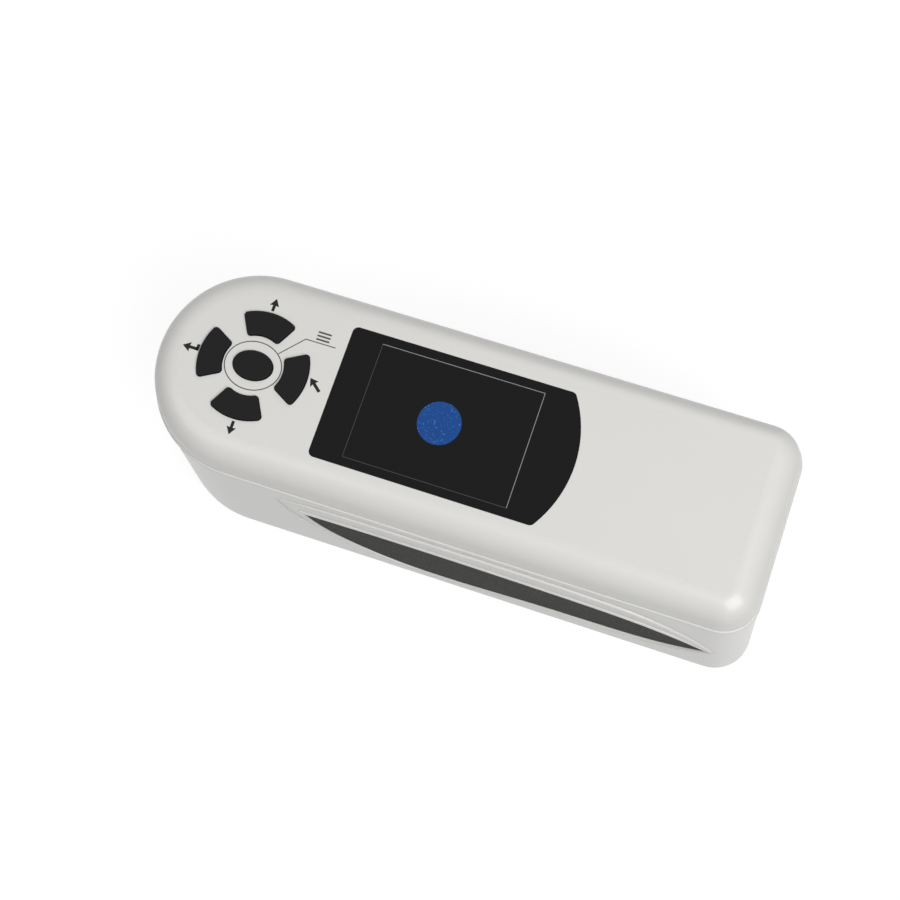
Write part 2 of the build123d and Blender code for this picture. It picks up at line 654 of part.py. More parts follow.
def key_cap(outline_of, place):
    """Makes a key cap: bevelled cap, wider flange under the shell and a stem over its switch."""
    with BuildPart() as cap:
        with BuildSketch(Plane.XY.offset(flange_top_z)):
            add(outline_of(0))
        extrude(amount=key_top_z - flange_top_z)
        chamfer(edges().group_by(Axis.Z)[-1], KEY_EDGE_BEVEL)
        with BuildSketch(Plane.XY.offset(flange_bottom_z)):
            add(outline_of(KEY_FLANGE))
        extrude(amount=KEY_FLANGE_THICKNESS)
        add(pillars([place], KEY_STEM_RADIUS, flange_bottom_z - KEY_STEM_HEIGHT, flange_bottom_z))
    return cap.part


# The centre key and the four curved keys round it
with BuildPart() as key_centre:
    add(key_cap(ok_key_outline, key_places[0]))
key_centre.part.label = "key_centre"
export_step(key_centre.part, "parts/key_centre.step")

for (name, direction), place in zip(KEY_DIRECTIONS.items(), key_places[1:]):
    with BuildPart() as arc_key:
        add(key_cap(lambda margin: arc_key_outline(direction, margin), place))
    arc_key.part.label = name
    export_step(arc_key.part, f"parts/{name}.step")

# Key board with its five switches, screwed under the crown
with BuildPart() as key_board:
    with BuildSketch(Plane.XY.offset(key_board_z)):
        with Locations((key_centre_x, 0)):
            Circle(KEY_BOARD_RADIUS)
        with Locations(*key_post_places):
            Circle(BOARD_SCREW_RADIUS, mode=Mode.SUBTRACT)
    extrude(amount=BOARD_THICKNESS)
key_board.part.label = "key_board"
export_step(key_board.part, "parts/key_board.step")

with BuildPart() as key_switches:
    with BuildSketch(Plane.XY.offset(key_board_top_z)):
        with Locations(*key_places):
            Rectangle(SWITCH_SIDE, SWITCH_SIDE)
    extrude(amount=SWITCH_BODY_HEIGHT)
    add(pillars(key_places, PLUNGER_RADIUS, key_board_top_z + SWITCH_BODY_HEIGHT, plunger_top_z))
key_switches.part.label = "key_switches"
export_step(key_switches.part, "parts/key_switches.step")

with BuildPart() as key_board_screws:
    add(headed_screws(key_post_places, BOARD_SCREW_RADIUS, key_board_top_z + KEY_SCREW_BITE, key_board_z,
                      BOARD_SCREW_HEAD_RADIUS, BOARD_SCREW_HEAD_HEIGHT))
key_board_screws.part.label = "key_board_screws"
export_step(key_board_screws.part, "parts/key_board_screws.step")

# Main board under the screen, with its chips and screws
with BuildPart() as main_board:
    with BuildSketch(Plane.XY.offset(main_board_z)):
        with Locations(((main_board_front_x + main_board_rear_x) / 2, 0)):
            Rectangle(main_board_rear_x - main_board_front_x, 2 * MAIN_BOARD_HALF_WIDTH)
        with Locations(*main_post_places):
            Circle(BOARD_SCREW_RADIUS, mode=Mode.SUBTRACT)
    extrude(amount=BOARD_THICKNESS)
main_board.part.label = "main_board"
export_step(main_board.part, "parts/main_board.step")

with BuildPart() as main_board_chips:
    for (setback, y), length, width, height in MAIN_BOARD_CHIPS:
        with BuildSketch(Plane.XY.offset(main_board_z)):
            with Locations((main_board_front_x + setback, y)):
                Rectangle(length, width)
        extrude(amount=-height)
main_board_chips.part.label = "main_board_chips"
export_step(main_board_chips.part, "parts/main_board_chips.step")

with BuildPart() as main_board_screws:
    add(headed_screws(main_post_places, BOARD_SCREW_RADIUS, main_board_top_z + BOARD_SCREW_DEPTH, main_board_z,
                      BOARD_SCREW_HEAD_RADIUS, BOARD_SCREW_HEAD_HEIGHT))
main_board_screws.part.label = "main_board_screws"
export_step(main_board_screws.part, "parts/main_board_screws.step")

# Case screws up the long tubes, and the rubber feet
with BuildPart() as case_screws:
    add(headed_screws(case_post_places, CASE_SCREW_RADIUS, CASE_POST_MEET_Z + CASE_SCREW_BITE,
                      CASE_SCREW_SEAT_Z, CASE_SCREW_HEAD_RADIUS, CASE_SCREW_HEAD_HEIGHT))
case_screws.part.label = "case_screws"
export_step(case_screws.part, "parts/case_screws.step")

with BuildPart() as rubber_feet:
    add(pillars(foot_places, FOOT_RADIUS - FOOT_CLEARANCE, 0, FOOT_HEIGHT + FOOT_RECESS))
    fillet(edges().group_by(Axis.Z)[0], FOOT_EDGE_RADIUS)
rubber_feet.part.label = "rubber_feet"
export_step(rubber_feet.part, "parts/rubber_feet.step")

# Optical head: port ring, two halves of the light sphere, lens tube, lens, lamps and sensor
with BuildPart() as port_ring:
    add(pillars([(port_x, 0)], PORT_RING_RADIUS, 0, port_ring_top_z))
    add(pillars([(port_x, 0)], PORT_FLANGE_RADIUS, floor_z, port_ring_top_z))
    add(pillars([(port_x, 0)], PORT_RADIUS, 0, port_ring_top_z), mode=Mode.SUBTRACT)
    fillet(edges().group_by(Axis.Z)[0].sort_by(SortBy.RADIUS)[-1], PORT_RING_EDGE)
port_ring.part.label = "port_ring"
export_step(port_ring.part, "parts/port_ring.step")

with BuildPart() as lower_sphere:
    with Locations((port_x, 0, sphere_centre_z)):
        Sphere(sphere_outer_radius)
    add(pillars([(port_x, 0)], sphere_flange_radius, head_post_top_z, sphere_centre_z))
    add(pillars([(port_x, 0)], SPHERE_SEAT_RADIUS, port_ring_top_z, sphere_seat_top_z + SPHERE_SEAT_OVERLAP))
    with Locations((port_x, 0, sphere_centre_z)):
        Sphere(SPHERE_INNER_RADIUS, mode=Mode.SUBTRACT)
    add(pillars([(port_x, 0)], SPHERE_PORT_RADIUS, port_ring_top_z, sphere_centre_z), mode=Mode.SUBTRACT)
    add(pillars(head_screw_places, BOARD_SCREW_RADIUS, head_post_top_z, sphere_centre_z), mode=Mode.SUBTRACT)
    add(pillars([(port_x, 0)], sphere_flange_radius, sphere_centre_z, tube_base_z + SPHERE_WALL),
        mode=Mode.SUBTRACT)
    add(pillars([(port_x, 0)], sphere_flange_radius, 0, port_ring_top_z), mode=Mode.SUBTRACT)
lower_sphere.part.label = "lower_sphere"
export_step(lower_sphere.part, "parts/lower_sphere.step")

lamp_places = ring_places(port_x, LAMP_PITCH_RADIUS, range(0, 360, 360 // LAMP_COUNT))
lamp_seat_z = sphere_centre_z + LAMP_SEAT_RISE
sphere_shoulder_z = tube_base_z + SPHERE_WALL

with BuildPart() as upper_sphere:
    with Locations((port_x, 0, sphere_centre_z)):
        Sphere(sphere_outer_radius)
    add(pillars([(port_x, 0)], sphere_flange_radius, sphere_centre_z, sphere_centre_z + SPHERE_FLANGE_THICKNESS))
    add(pillars([(port_x, 0)], LAMP_PLATFORM_RADIUS, lamp_seat_z, sphere_shoulder_z))
    with Locations((port_x, 0, sphere_centre_z)):
        Sphere(SPHERE_INNER_RADIUS, mode=Mode.SUBTRACT)
    add(pillars([(port_x, 0)], sphere_flange_radius, 0, sphere_centre_z), mode=Mode.SUBTRACT)
    add(pillars([(port_x, 0)], LENS_TUBE_RADIUS, sphere_centre_z, sphere_shoulder_z), mode=Mode.SUBTRACT)
    add(pillars(lamp_places, LAMP_RADIUS + LAMP_CLEARANCE, sphere_centre_z, sphere_shoulder_z), mode=Mode.SUBTRACT)
    add(pillars(head_screw_places, BOARD_SCREW_RADIUS, sphere_centre_z,
                sphere_centre_z + SPHERE_FLANGE_THICKNESS), mode=Mode.SUBTRACT)
upper_sphere.part.label = "upper_sphere"
export_step(upper_sphere.part, "parts/upper_sphere.step")

# Lens tube pressed into the top of the sphere, with its lens, lamp ring and sensor board
lamp_board_z = sphere_shoulder_z + LAMP_RIM_THICKNESS
collar_z = lamp_board_z + BOARD_THICKNESS

with BuildPart() as lens_tube:
    add(pillars([(port_x, 0)], LENS_TUBE_RADIUS - LAMP_CLEARANCE, tube_base_z, sensor_board_z))
    add(pillars([(port_x, 0)], LENS_COLLAR_RADIUS, collar_z, collar_z + LENS_TUBE_WALL))
    add(pillars([(port_x, 0)], LENS_TUBE_RADIUS - LENS_TUBE_WALL, tube_base_z, sensor_board_z), mode=Mode.SUBTRACT)
lens_tube.part.label = "lens_tube"
export_step(lens_tube.part, "parts/lens_tube.step")

with BuildPart() as lens:
    add(pillars([(port_x, 0)], LENS_TUBE_RADIUS - LENS_TUBE_WALL - LAMP_CLEARANCE,
                tube_base_z + LENS_TUBE_WALL, tube_base_z + LENS_TUBE_WALL + LENS_THICKNESS))
    fillet(edges().group_by(Axis.Z)[-1], LENS_EDGE_RADIUS)
lens.part.label = "lens"
export_step(lens.part, "parts/lens.step")

with BuildPart() as lamps:
    add(pillars(lamp_places, LAMP_RADIUS, sphere_shoulder_z - LAMP_HEIGHT, sphere_shoulder_z))
    add(pillars(lamp_places, LAMP_RIM_RADIUS, sphere_shoulder_z, lamp_board_z))
lamps.part.label = "lamps"
export_step(lamps.part, "parts/lamps.step")

with BuildPart() as lamp_board:
    add(pillars([(port_x, 0)], LAMP_PLATFORM_RADIUS, lamp_board_z, collar_z))
    add(pillars([(port_x, 0)], LENS_TUBE_RADIUS + LAMP_CLEARANCE, lamp_board_z, collar_z), mode=Mode.SUBTRACT)
lamp_board.part.label = "lamp_board"
export_step(lamp_board.part, "parts/lamp_board.step")

with BuildPart() as sensor_board:
    add(pillars([(port_x, 0)], SENSOR_BOARD_RADIUS, sensor_board_z, sensor_board_z + BOARD_THICKNESS))
sensor_board.part.label = "sensor_board"
export_step(sensor_board.part, "parts/sensor_board.step")

with BuildPart() as color_sensor:
    with BuildSketch(Plane.XY.offset(sensor_board_z)):
        with Locations((port_x, 0)):
            Rectangle(SENSOR_SIDE, SENSOR_SIDE)
    extrude(amount=-SENSOR_HEIGHT)
color_sensor.part.label = "color_sensor"
export_step(color_sensor.part, "parts/color_sensor.step")

with BuildPart() as head_screws:
    add(headed_screws(head_screw_places, BOARD_SCREW_RADIUS, head_post_top_z - BOARD_SCREW_DEPTH + SCREW_TIP_GAP,
                      sphere_centre_z + SPHERE_FLANGE_THICKNESS, BOARD_SCREW_HEAD_RADIUS,
                      BOARD_SCREW_HEAD_HEIGHT))
head_screws.part.label = "head_screws"
export_step(head_screws.part, "parts/head_screws.step")

# Flat ribbon from the key board to the main board
with BuildPart() as key_ribbon:
    with BuildSketch(Plane.XY.offset(key_board_z)):
        with Locations(((key_centre_x + KEY_BOARD_RADIUS + main_board_front_x) / 2, 0)):
            Rectangle(main_board_front_x - key_centre_x - KEY_BOARD_RADIUS + 2 * RIBBON_LAP, RIBBON_WIDTH)
    extrude(amount=-RIBBON_THICKNESS)
key_ribbon.part.label = "key_ribbon"
export_step(key_ribbon.part, "parts/key_ribbon.step")

# Battery cage on two rails, with bores for the cells and posts for the socket board
io_post_places = mirrored([(io_board_front_x + IO_POST_INSET, IO_POST_Y)])
io_post_places.append((io_board_rear_x - IO_MIDDLE_POST_X, IO_MIDDLE_POST_Y))

with BuildPart() as battery_cage:
    with BuildSketch(Plane.YZ.offset(cage_front_x)):
        with Locations((0, cell_middle_z)):
            Rectangle(2 * cage_half_width, cage_height)
        for side in (-1, 1):
            with Locations((side * (cage_half_width - CAGE_LEG_WIDTH / 2), (floor_z + cell_middle_z) / 2)):
                Rectangle(CAGE_LEG_WIDTH, cell_middle_z - floor_z)
    extrude(amount=cage_rear_x - cage_front_x)
    with BuildSketch(Plane.YZ.offset(cage_back_x)):
        with Locations(*cell_places):
            Circle(CELL_RADIUS + CELL_CLEARANCE)
    extrude(amount=cage_rear_x - cage_back_x, mode=Mode.SUBTRACT)
    add(pillars(io_post_places, IO_POST_RADIUS, cage_top_z, io_board_z))
    add(pillars(io_post_places, BOARD_SCREW_RADIUS, io_board_z - BOARD_SCREW_DEPTH, io_board_z),
        mode=Mode.SUBTRACT)
battery_cage.part.label = "battery_cage"
export_step(battery_cage.part, "parts/battery_cage.step")

with BuildPart() as battery_cells:
    with BuildSketch(Plane.YZ.offset(cell_front_x)):
        with Locations(*cell_places):
            Circle(CELL_RADIUS)
    extrude(amount=CELL_LENGTH)
    fillet(edges().filter_by(GeomType.CIRCLE), CELL_EDGE_RADIUS)
    with BuildSketch(Plane.YZ.offset(cell_rear_x)):
        with Locations(*cell_places):
            Circle(CELL_NUB_RADIUS)
    extrude(amount=CELL_NUB_LENGTH)
battery_cells.part.label = "battery_cells"
export_step(battery_cells.part, "parts/battery_cells.step")

with BuildPart() as cell_springs:
    for y, z in cell_places:
        spring_base = Plane(origin=(cage_back_x + SPRING_WIRE_RADIUS + SPRING_GAP, y, z), z_dir=(1, 0, 0))
        coil = spring_base.location * Helix(SPRING_PITCH, SPRING_LENGTH - 2 * (SPRING_WIRE_RADIUS + SPRING_GAP),
                                            SPRING_COIL_RADIUS)
        with BuildSketch(Plane(origin=coil @ 0, z_dir=coil % 0)):
            Circle(SPRING_WIRE_RADIUS)
        sweep(path=coil, is_frenet=True)
cell_springs.part.label = "cell_springs"
export_step(cell_springs.part, "parts/cell_springs.step")

# Rear lid: skin of the rear wall with its knuckle, finger notch and contact pads
with BuildPart() as rear_lid:
    add(wall_skin(hinge_z, LID_TOP_Z - LID_CLEARANCE, LID_THICKNESS))
    add(rear_block(LID_HALF_WIDTH - LID_CLEARANCE, hinge_z, LID_TOP_Z - LID_CLEARANCE), mode=Mode.INTERSECT)
    with BuildSketch(Plane.XZ):
        with Locations((hinge_x, hinge_z)):
            Circle(HINGE_KNUCKLE_RADIUS)
    extrude(amount=LID_HALF_WIDTH - LID_CLEARANCE, both=True)
    with BuildSketch(Plane.YZ.offset(lid_inner_x)):
        for side in (-1, 1):
            with Locations((side * CELL_PITCH / 2, cell_middle_z)):
                Rectangle(CONTACT_WIDTH, CELL_PITCH + CONTACT_WIDTH)
    extrude(amount=LID_PAD_DEPTH)
    with BuildSketch(Plane.YZ.offset(rear_face_x(LID_TOP_Z) - LID_NOTCH_DEPTH)):
        with Locations((0, LID_TOP_Z - LID_NOTCH_DROP)):
            SlotCenterToCenter(LID_NOTCH_LENGTH, LID_NOTCH_WIDTH)
    extrude(amount=LOWER_WALL, mode=Mode.SUBTRACT)
    with BuildSketch(Plane.XZ):
        with Locations((hinge_x, hinge_z)):
            Circle(HINGE_PIN_RADIUS + HINGE_RUNNING_CLEARANCE)
    extrude(amount=LID_HALF_WIDTH, both=True, mode=Mode.SUBTRACT)
rear_lid.part.label = "rear_lid"
export_step(rear_lid.part, "parts/rear_lid.step")

with BuildPart() as lid_hinge_pin:
    with BuildSketch(Plane.XZ):
        with Locations((hinge_x, hinge_z)):
            Circle(HINGE_PIN_RADIUS)
    extrude(amount=LID_HALF_WIDTH + HINGE_PIN_REACH - SCREW_TIP_GAP, both=True)
lid_hinge_pin.part.label = "lid_hinge_pin"
export_step(lid_hinge_pin.part, "parts/lid_hinge_pin.step")

with BuildPart() as lid_contacts:
    with BuildSketch(Plane.YZ.offset(contact_x)):
        for side in (-1, 1):
            with Locations((side * CELL_PITCH / 2, cell_middle_z)):
                Rectangle(CONTACT_WIDTH, CELL_PITCH + CONTACT_WIDTH)
    extrude(amount=CONTACT_THICKNESS)
lid_contacts.part.label = "lid_contacts"
export_step(lid_contacts.part, "parts/lid_contacts.step")

# Rear panel with its slot and socket holes, and the board behind it
socket_z = io_board_top_z + JACK_SIDE / 2
usb_z = io_board_top_z + USB_HEIGHT / 2
panel_half_width = LID_HALF_WIDTH - PANEL_CLEARANCE

with BuildPart() as rear_panel:
    add(wall_skin(PANEL_BOTTOM_Z + PANEL_CLEARANCE, PANEL_TOP_Z - PANEL_CLEARANCE, PANEL_THICKNESS))
    add(rear_block(panel_half_width, PANEL_BOTTOM_Z, PANEL_TOP_Z), mode=Mode.INTERSECT)
    with BuildSketch(Plane.YZ.offset(panel_inner_x - LOWER_WALL)):
        with Locations((SWITCH_Y, socket_z)):
            Rectangle(SWITCH_SLOT_LENGTH, SWITCH_SLOT_HEIGHT)
        with Locations((USB_Y, usb_z)):
            Rectangle(USB_WIDTH + 2 * SOCKET_CLEARANCE, USB_HEIGHT + 2 * SOCKET_CLEARANCE)
        with Locations((JACK_Y, socket_z)):
            Circle(JACK_BORE_RADIUS + SOCKET_CLEARANCE)
    extrude(amount=2 * (LOWER_WALL + CUT_REACH), mode=Mode.SUBTRACT)
rear_panel.part.label = "rear_panel"
export_step(rear_panel.part, "parts/rear_panel.step")

with BuildPart() as io_board:
    with BuildSketch(Plane.XY.offset(io_board_z)):
        with Locations(((io_board_front_x + io_board_rear_x) / 2, 0)):
            Rectangle(IO_BOARD_LENGTH, 2 * IO_BOARD_HALF_WIDTH)
        with Locations(*io_post_places):
            Circle(BOARD_SCREW_RADIUS, mode=Mode.SUBTRACT)
    extrude(amount=BOARD_THICKNESS)
io_board.part.label = "io_board"
export_step(io_board.part, "parts/io_board.step")

with BuildPart() as io_board_screws:
    add(headed_screws(io_post_places, BOARD_SCREW_RADIUS, io_board_z - BOARD_SCREW_DEPTH + SCREW_TIP_GAP,
                      io_board_top_z, BOARD_SCREW_HEAD_RADIUS, BOARD_SCREW_HEAD_HEIGHT))
io_board_screws.part.label = "io_board_screws"
export_step(io_board_screws.part, "parts/io_board_screws.step")

usb_rear_x = rear_face_x(usb_z) - SOCKET_CLEARANCE
with BuildPart() as usb_socket:
    with BuildSketch(Plane.YZ.offset(usb_rear_x)):
        with Locations((USB_Y, usb_z)):
            Rectangle(USB_WIDTH, USB_HEIGHT)
    extrude(amount=-USB_DEPTH)
    with BuildSketch(Plane.YZ.offset(usb_rear_x)):
        with Locations((USB_Y, usb_z)):
            Rectangle(USB_WIDTH - 2 * USB_SHEET, USB_HEIGHT - 2 * USB_SHEET)
            Rectangle(USB_TONGUE_WIDTH, USB_TONGUE_HEIGHT, mode=Mode.SUBTRACT)
    extrude(amount=-USB_SOCKET_DEPTH, mode=Mode.SUBTRACT)
usb_socket.part.label = "usb_socket"
export_step(usb_socket.part, "parts/usb_socket.step")

with BuildPart() as charge_socket:
    with BuildSketch(Plane.YZ.offset(io_board_rear_x)):
        with Locations((JACK_Y, socket_z)):
            Rectangle(JACK_SIDE, JACK_SIDE)
    extrude(amount=-JACK_DEPTH)
    with BuildSketch(Plane.YZ.offset(io_board_rear_x)):
        with Locations((JACK_Y, socket_z)):
            Circle(JACK_BORE_RADIUS)
            Circle(JACK_PIN_RADIUS, mode=Mode.SUBTRACT)
    extrude(amount=-JACK_BORE_DEPTH, mode=Mode.SUBTRACT)
charge_socket.part.label = "charge_socket"
export_step(charge_socket.part, "parts/charge_socket.step")

# Slide switch: body on the board, knob that runs in the slot of the panel
knob_length = SWITCH_SLOT_LENGTH - SWITCH_TRAVEL - 2 * SOCKET_CLEARANCE
knob_rest_y = SWITCH_Y - SWITCH_TRAVEL / 2
knob_flange_x = panel_inner_x - SOCKET_CLEARANCE - KNOB_FLANGE_THICKNESS
switch_front_x = knob_flange_x - SOCKET_CLEARANCE

with BuildPart() as power_switch:
    with BuildSketch(Plane.YZ.offset(switch_front_x)):
        with Locations((SWITCH_Y, socket_z)):
            Rectangle(SWITCH_BODY_LENGTH, JACK_SIDE)
    extrude(amount=-SWITCH_BODY_DEPTH)
power_switch.part.label = "power_switch"
export_step(power_switch.part, "parts/power_switch.step")

with BuildPart() as power_switch_knob:
    with BuildSketch(Plane.YZ.offset(knob_flange_x)):
        with Locations((knob_rest_y, socket_z)):
            Rectangle(knob_length + 2 * KEY_FLANGE, SWITCH_SLOT_HEIGHT + 2 * KEY_FLANGE)
    extrude(amount=KNOB_FLANGE_THICKNESS)
    with BuildSketch(Plane.YZ.offset(knob_flange_x)):
        with Locations((knob_rest_y, socket_z)):
            Rectangle(knob_length, SWITCH_KNOB_HEIGHT)
    extrude(amount=rear_face_x(socket_z) - SWITCH_KNOB_SINK - knob_flange_x)
    with BuildSketch(Plane.YZ.offset(rear_face_x(socket_z) - SWITCH_KNOB_SINK)):
        with Locations((knob_rest_y, socket_z)):
            with GridLocations(KNOB_RIB_PITCH, 0, 3, 1):
                Rectangle(KNOB_RIB_WIDTH, SWITCH_KNOB_HEIGHT)
    extrude(amount=-KNOB_RIB_WIDTH, mode=Mode.SUBTRACT)
power_switch_knob.part.label = "power_switch_knob"
export_step(power_switch_knob.part, "parts/power_switch_knob.step")
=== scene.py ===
"""Handheld color meter: finishes, keys, prints, screen picture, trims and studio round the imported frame."""

import json
import logging
import math
from dataclasses import dataclass, field
from enum import Enum

import bmesh
import bpy
from mathutils import Matrix, Vector


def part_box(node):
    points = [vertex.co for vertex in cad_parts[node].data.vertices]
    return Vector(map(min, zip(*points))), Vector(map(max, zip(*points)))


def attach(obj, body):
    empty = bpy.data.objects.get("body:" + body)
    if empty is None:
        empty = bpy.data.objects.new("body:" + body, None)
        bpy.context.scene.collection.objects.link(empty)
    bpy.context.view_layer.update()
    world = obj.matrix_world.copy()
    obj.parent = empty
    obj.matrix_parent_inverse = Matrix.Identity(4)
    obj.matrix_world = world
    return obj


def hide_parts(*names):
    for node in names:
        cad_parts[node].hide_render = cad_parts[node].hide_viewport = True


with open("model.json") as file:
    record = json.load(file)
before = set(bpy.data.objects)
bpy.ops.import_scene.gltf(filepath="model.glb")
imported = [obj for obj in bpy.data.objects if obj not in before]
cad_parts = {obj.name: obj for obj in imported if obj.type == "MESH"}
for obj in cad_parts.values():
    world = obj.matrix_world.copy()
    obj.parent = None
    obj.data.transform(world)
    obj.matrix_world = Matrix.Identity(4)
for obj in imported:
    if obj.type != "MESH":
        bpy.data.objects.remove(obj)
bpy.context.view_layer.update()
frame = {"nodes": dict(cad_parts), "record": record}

MM = 0.001
Color = tuple[float, float, float, float]
Place = tuple[float, float]
log = logging.getLogger("color_meter")


class Side(Enum):
    """The two long sides of the meter, by the sign of their y."""

    NEAR = -1
    FAR = 1


def linear(level: float) -> float:
    """Turns a display level into a linear one.

    Args:
        level: The display level, from 0 to 255.

    Returns:
        The linear level that shaders take.
    """
    share = level / 255
    if share <= 0.04045:
        return share / 12.92
    return ((share + 0.055) / 1.055) ** 2.4


def rgb(red: float, green: float, blue: float) -> Color:
    """Gives the linear colour of three display levels.

    Args:
        red: Red level from 0 to 255.
        green: Green level.
        blue: Blue level.

    Returns:
        The linear colour with full alpha.
    """
    return (linear(red), linear(green), linear(blue), 1.0)


def shade(color: Color, factor: float) -> Color:
    """Gives a lighter or darker copy of a colour.

    Args:
        color: The colour.
        factor: What its levels are multiplied by.

    Returns:
        The new colour.
    """
    return tuple(min(1.0, level * factor) for level in color[:3]) + (1.0,)


@dataclass(frozen=True)
class Finish:
    """A moulded, coated or printed finish: a clouded colour, a varying gloss and a fine grain."""

    name: str
    color: Color
    roughness: float = 0.4
    spread: float = 0.05
    cloud: float = 0.03
    cloud_scale: float = 60.0
    grain: float = 0.1
    grain_scale: float = 2500.0
    grain_depth: float = 0.02 * MM
    metallic: float = 0.0
    coat: float = 0.0
    coat_roughness: float = 0.12
    specular: float = 0.5
    transmission: float = 0.0
    glow: float = 0.0

    def shader(self, material: bpy.types.Material) -> bpy.types.ShaderNode:
        """Sets the constants of the shader.

        Args:
            material: The material that is built.

        Returns:
            Its shader node.
        """
        shader = material.node_tree.nodes["Principled BSDF"]
        shader.inputs["Metallic"].default_value = self.metallic
        shader.inputs["Coat Weight"].default_value = self.coat
        shader.inputs["Coat Roughness"].default_value = self.coat_roughness
        shader.inputs["Specular IOR Level"].default_value = self.specular
        shader.inputs["Transmission Weight"].default_value = self.transmission
        shader.inputs["Emission Color"].default_value = self.color
        shader.inputs["Emission Strength"].default_value = self.glow
        return shader

    def noise(self, material: bpy.types.Material, scale: float, detail: float) -> bpy.types.ShaderNode:
        """Adds a noise on the piece's own coordinates.

        Args:
            material: The material that is built.
            scale: Grains per metre.
            detail: Octaves of the noise.

        Returns:
            The noise node.
        """
        nodes = material.node_tree.nodes
        place = nodes.new("ShaderNodeTexCoord")
        noise = nodes.new("ShaderNodeTexNoise")
        noise.inputs["Scale"].default_value = scale
        noise.inputs["Detail"].default_value = detail
        material.node_tree.links.new(place.outputs["Object"], noise.inputs["Vector"])
        return noise

    def paint(self, material: bpy.types.Material, shader: bpy.types.ShaderNode) -> None:
        """Gives the colour its faint clouds and the gloss its variation.

        Args:
            material: The material that is built.
            shader: Its shader node.
        """
        nodes = material.node_tree.nodes
        links = material.node_tree.links
        clouds = self.noise(material, self.cloud_scale, 4.0)
        tone = nodes.new("ShaderNodeMix")
        tone.data_type = "RGBA"
        tone.inputs["A"].default_value = shade(self.color, 1 - self.cloud)
        tone.inputs["B"].default_value = shade(self.color, 1 + self.cloud)
        links.new(clouds.outputs["Fac"], tone.inputs["Factor"])
        links.new(tone.outputs["Result"], shader.inputs["Base Color"])
        gloss = nodes.new("ShaderNodeMapRange")
        gloss.inputs["To Min"].default_value = max(0.02, self.roughness - self.spread)
        gloss.inputs["To Max"].default_value = min(1.0, self.roughness + self.spread)
        links.new(clouds.outputs["Fac"], gloss.inputs["Value"])
        links.new(gloss.outputs["Result"], shader.inputs["Roughness"])

    def emboss(self, material: bpy.types.Material, shader: bpy.types.ShaderNode) -> None:
        """Adds the fine grain of the surface.

        Args:
            material: The material that is built.
            shader: Its shader node.
        """
        grains = self.noise(material, self.grain_scale, 2.0)
        bump = material.node_tree.nodes.new("ShaderNodeBump")
        bump.inputs["Strength"].default_value = self.grain
        bump.inputs["Distance"].default_value = self.grain_depth
        material.node_tree.links.new(grains.outputs["Fac"], bump.inputs["Height"])
        material.node_tree.links.new(bump.outputs["Normal"], shader.inputs["Normal"])

    def build(self) -> bpy.types.Material:
        """Makes the node material.

        Returns:
            The material.
        """
        material = bpy.data.materials.new(self.name)
        material.use_nodes = True
        shader = self.shader(material)
        self.paint(material, shader)
        if self.grain:
            self.emboss(material, shader)
        return material


@dataclass(frozen=True)
class SpeckledFinish(Finish):
    """A finish with small flecks of a second colour, as in a metallic paint or a grained rubber."""

    fleck: Color = rgb(120, 120, 120)
    fleck_scale: float = 2600.0
    fleck_start: float = 0.62
    fleck_end: float = 0.74

    def paint(self, material: bpy.types.Material, shader: bpy.types.ShaderNode) -> None:
        """Scatters the flecks over the clouded colour.

        Args:
            material: The material that is built.
            shader: Its shader node.
        """
        super().paint(material, shader)
        nodes = material.node_tree.nodes
        links = material.node_tree.links
        clouded = shader.inputs["Base Color"].links[0].from_socket
        specks = self.noise(material, self.fleck_scale, 1.0)
        share = nodes.new("ShaderNodeMapRange")
        share.inputs["From Min"].default_value = self.fleck_start
        share.inputs["From Max"].default_value = self.fleck_end
        links.new(specks.outputs["Fac"], share.inputs["Value"])
        mixed = nodes.new("ShaderNodeMix")
        mixed.data_type = "RGBA"
        mixed.inputs["B"].default_value = self.fleck
        links.new(share.outputs["Result"], mixed.inputs["Factor"])
        links.new(clouded, mixed.inputs["A"])
        links.new(mixed.outputs["Result"], shader.inputs["Base Color"])


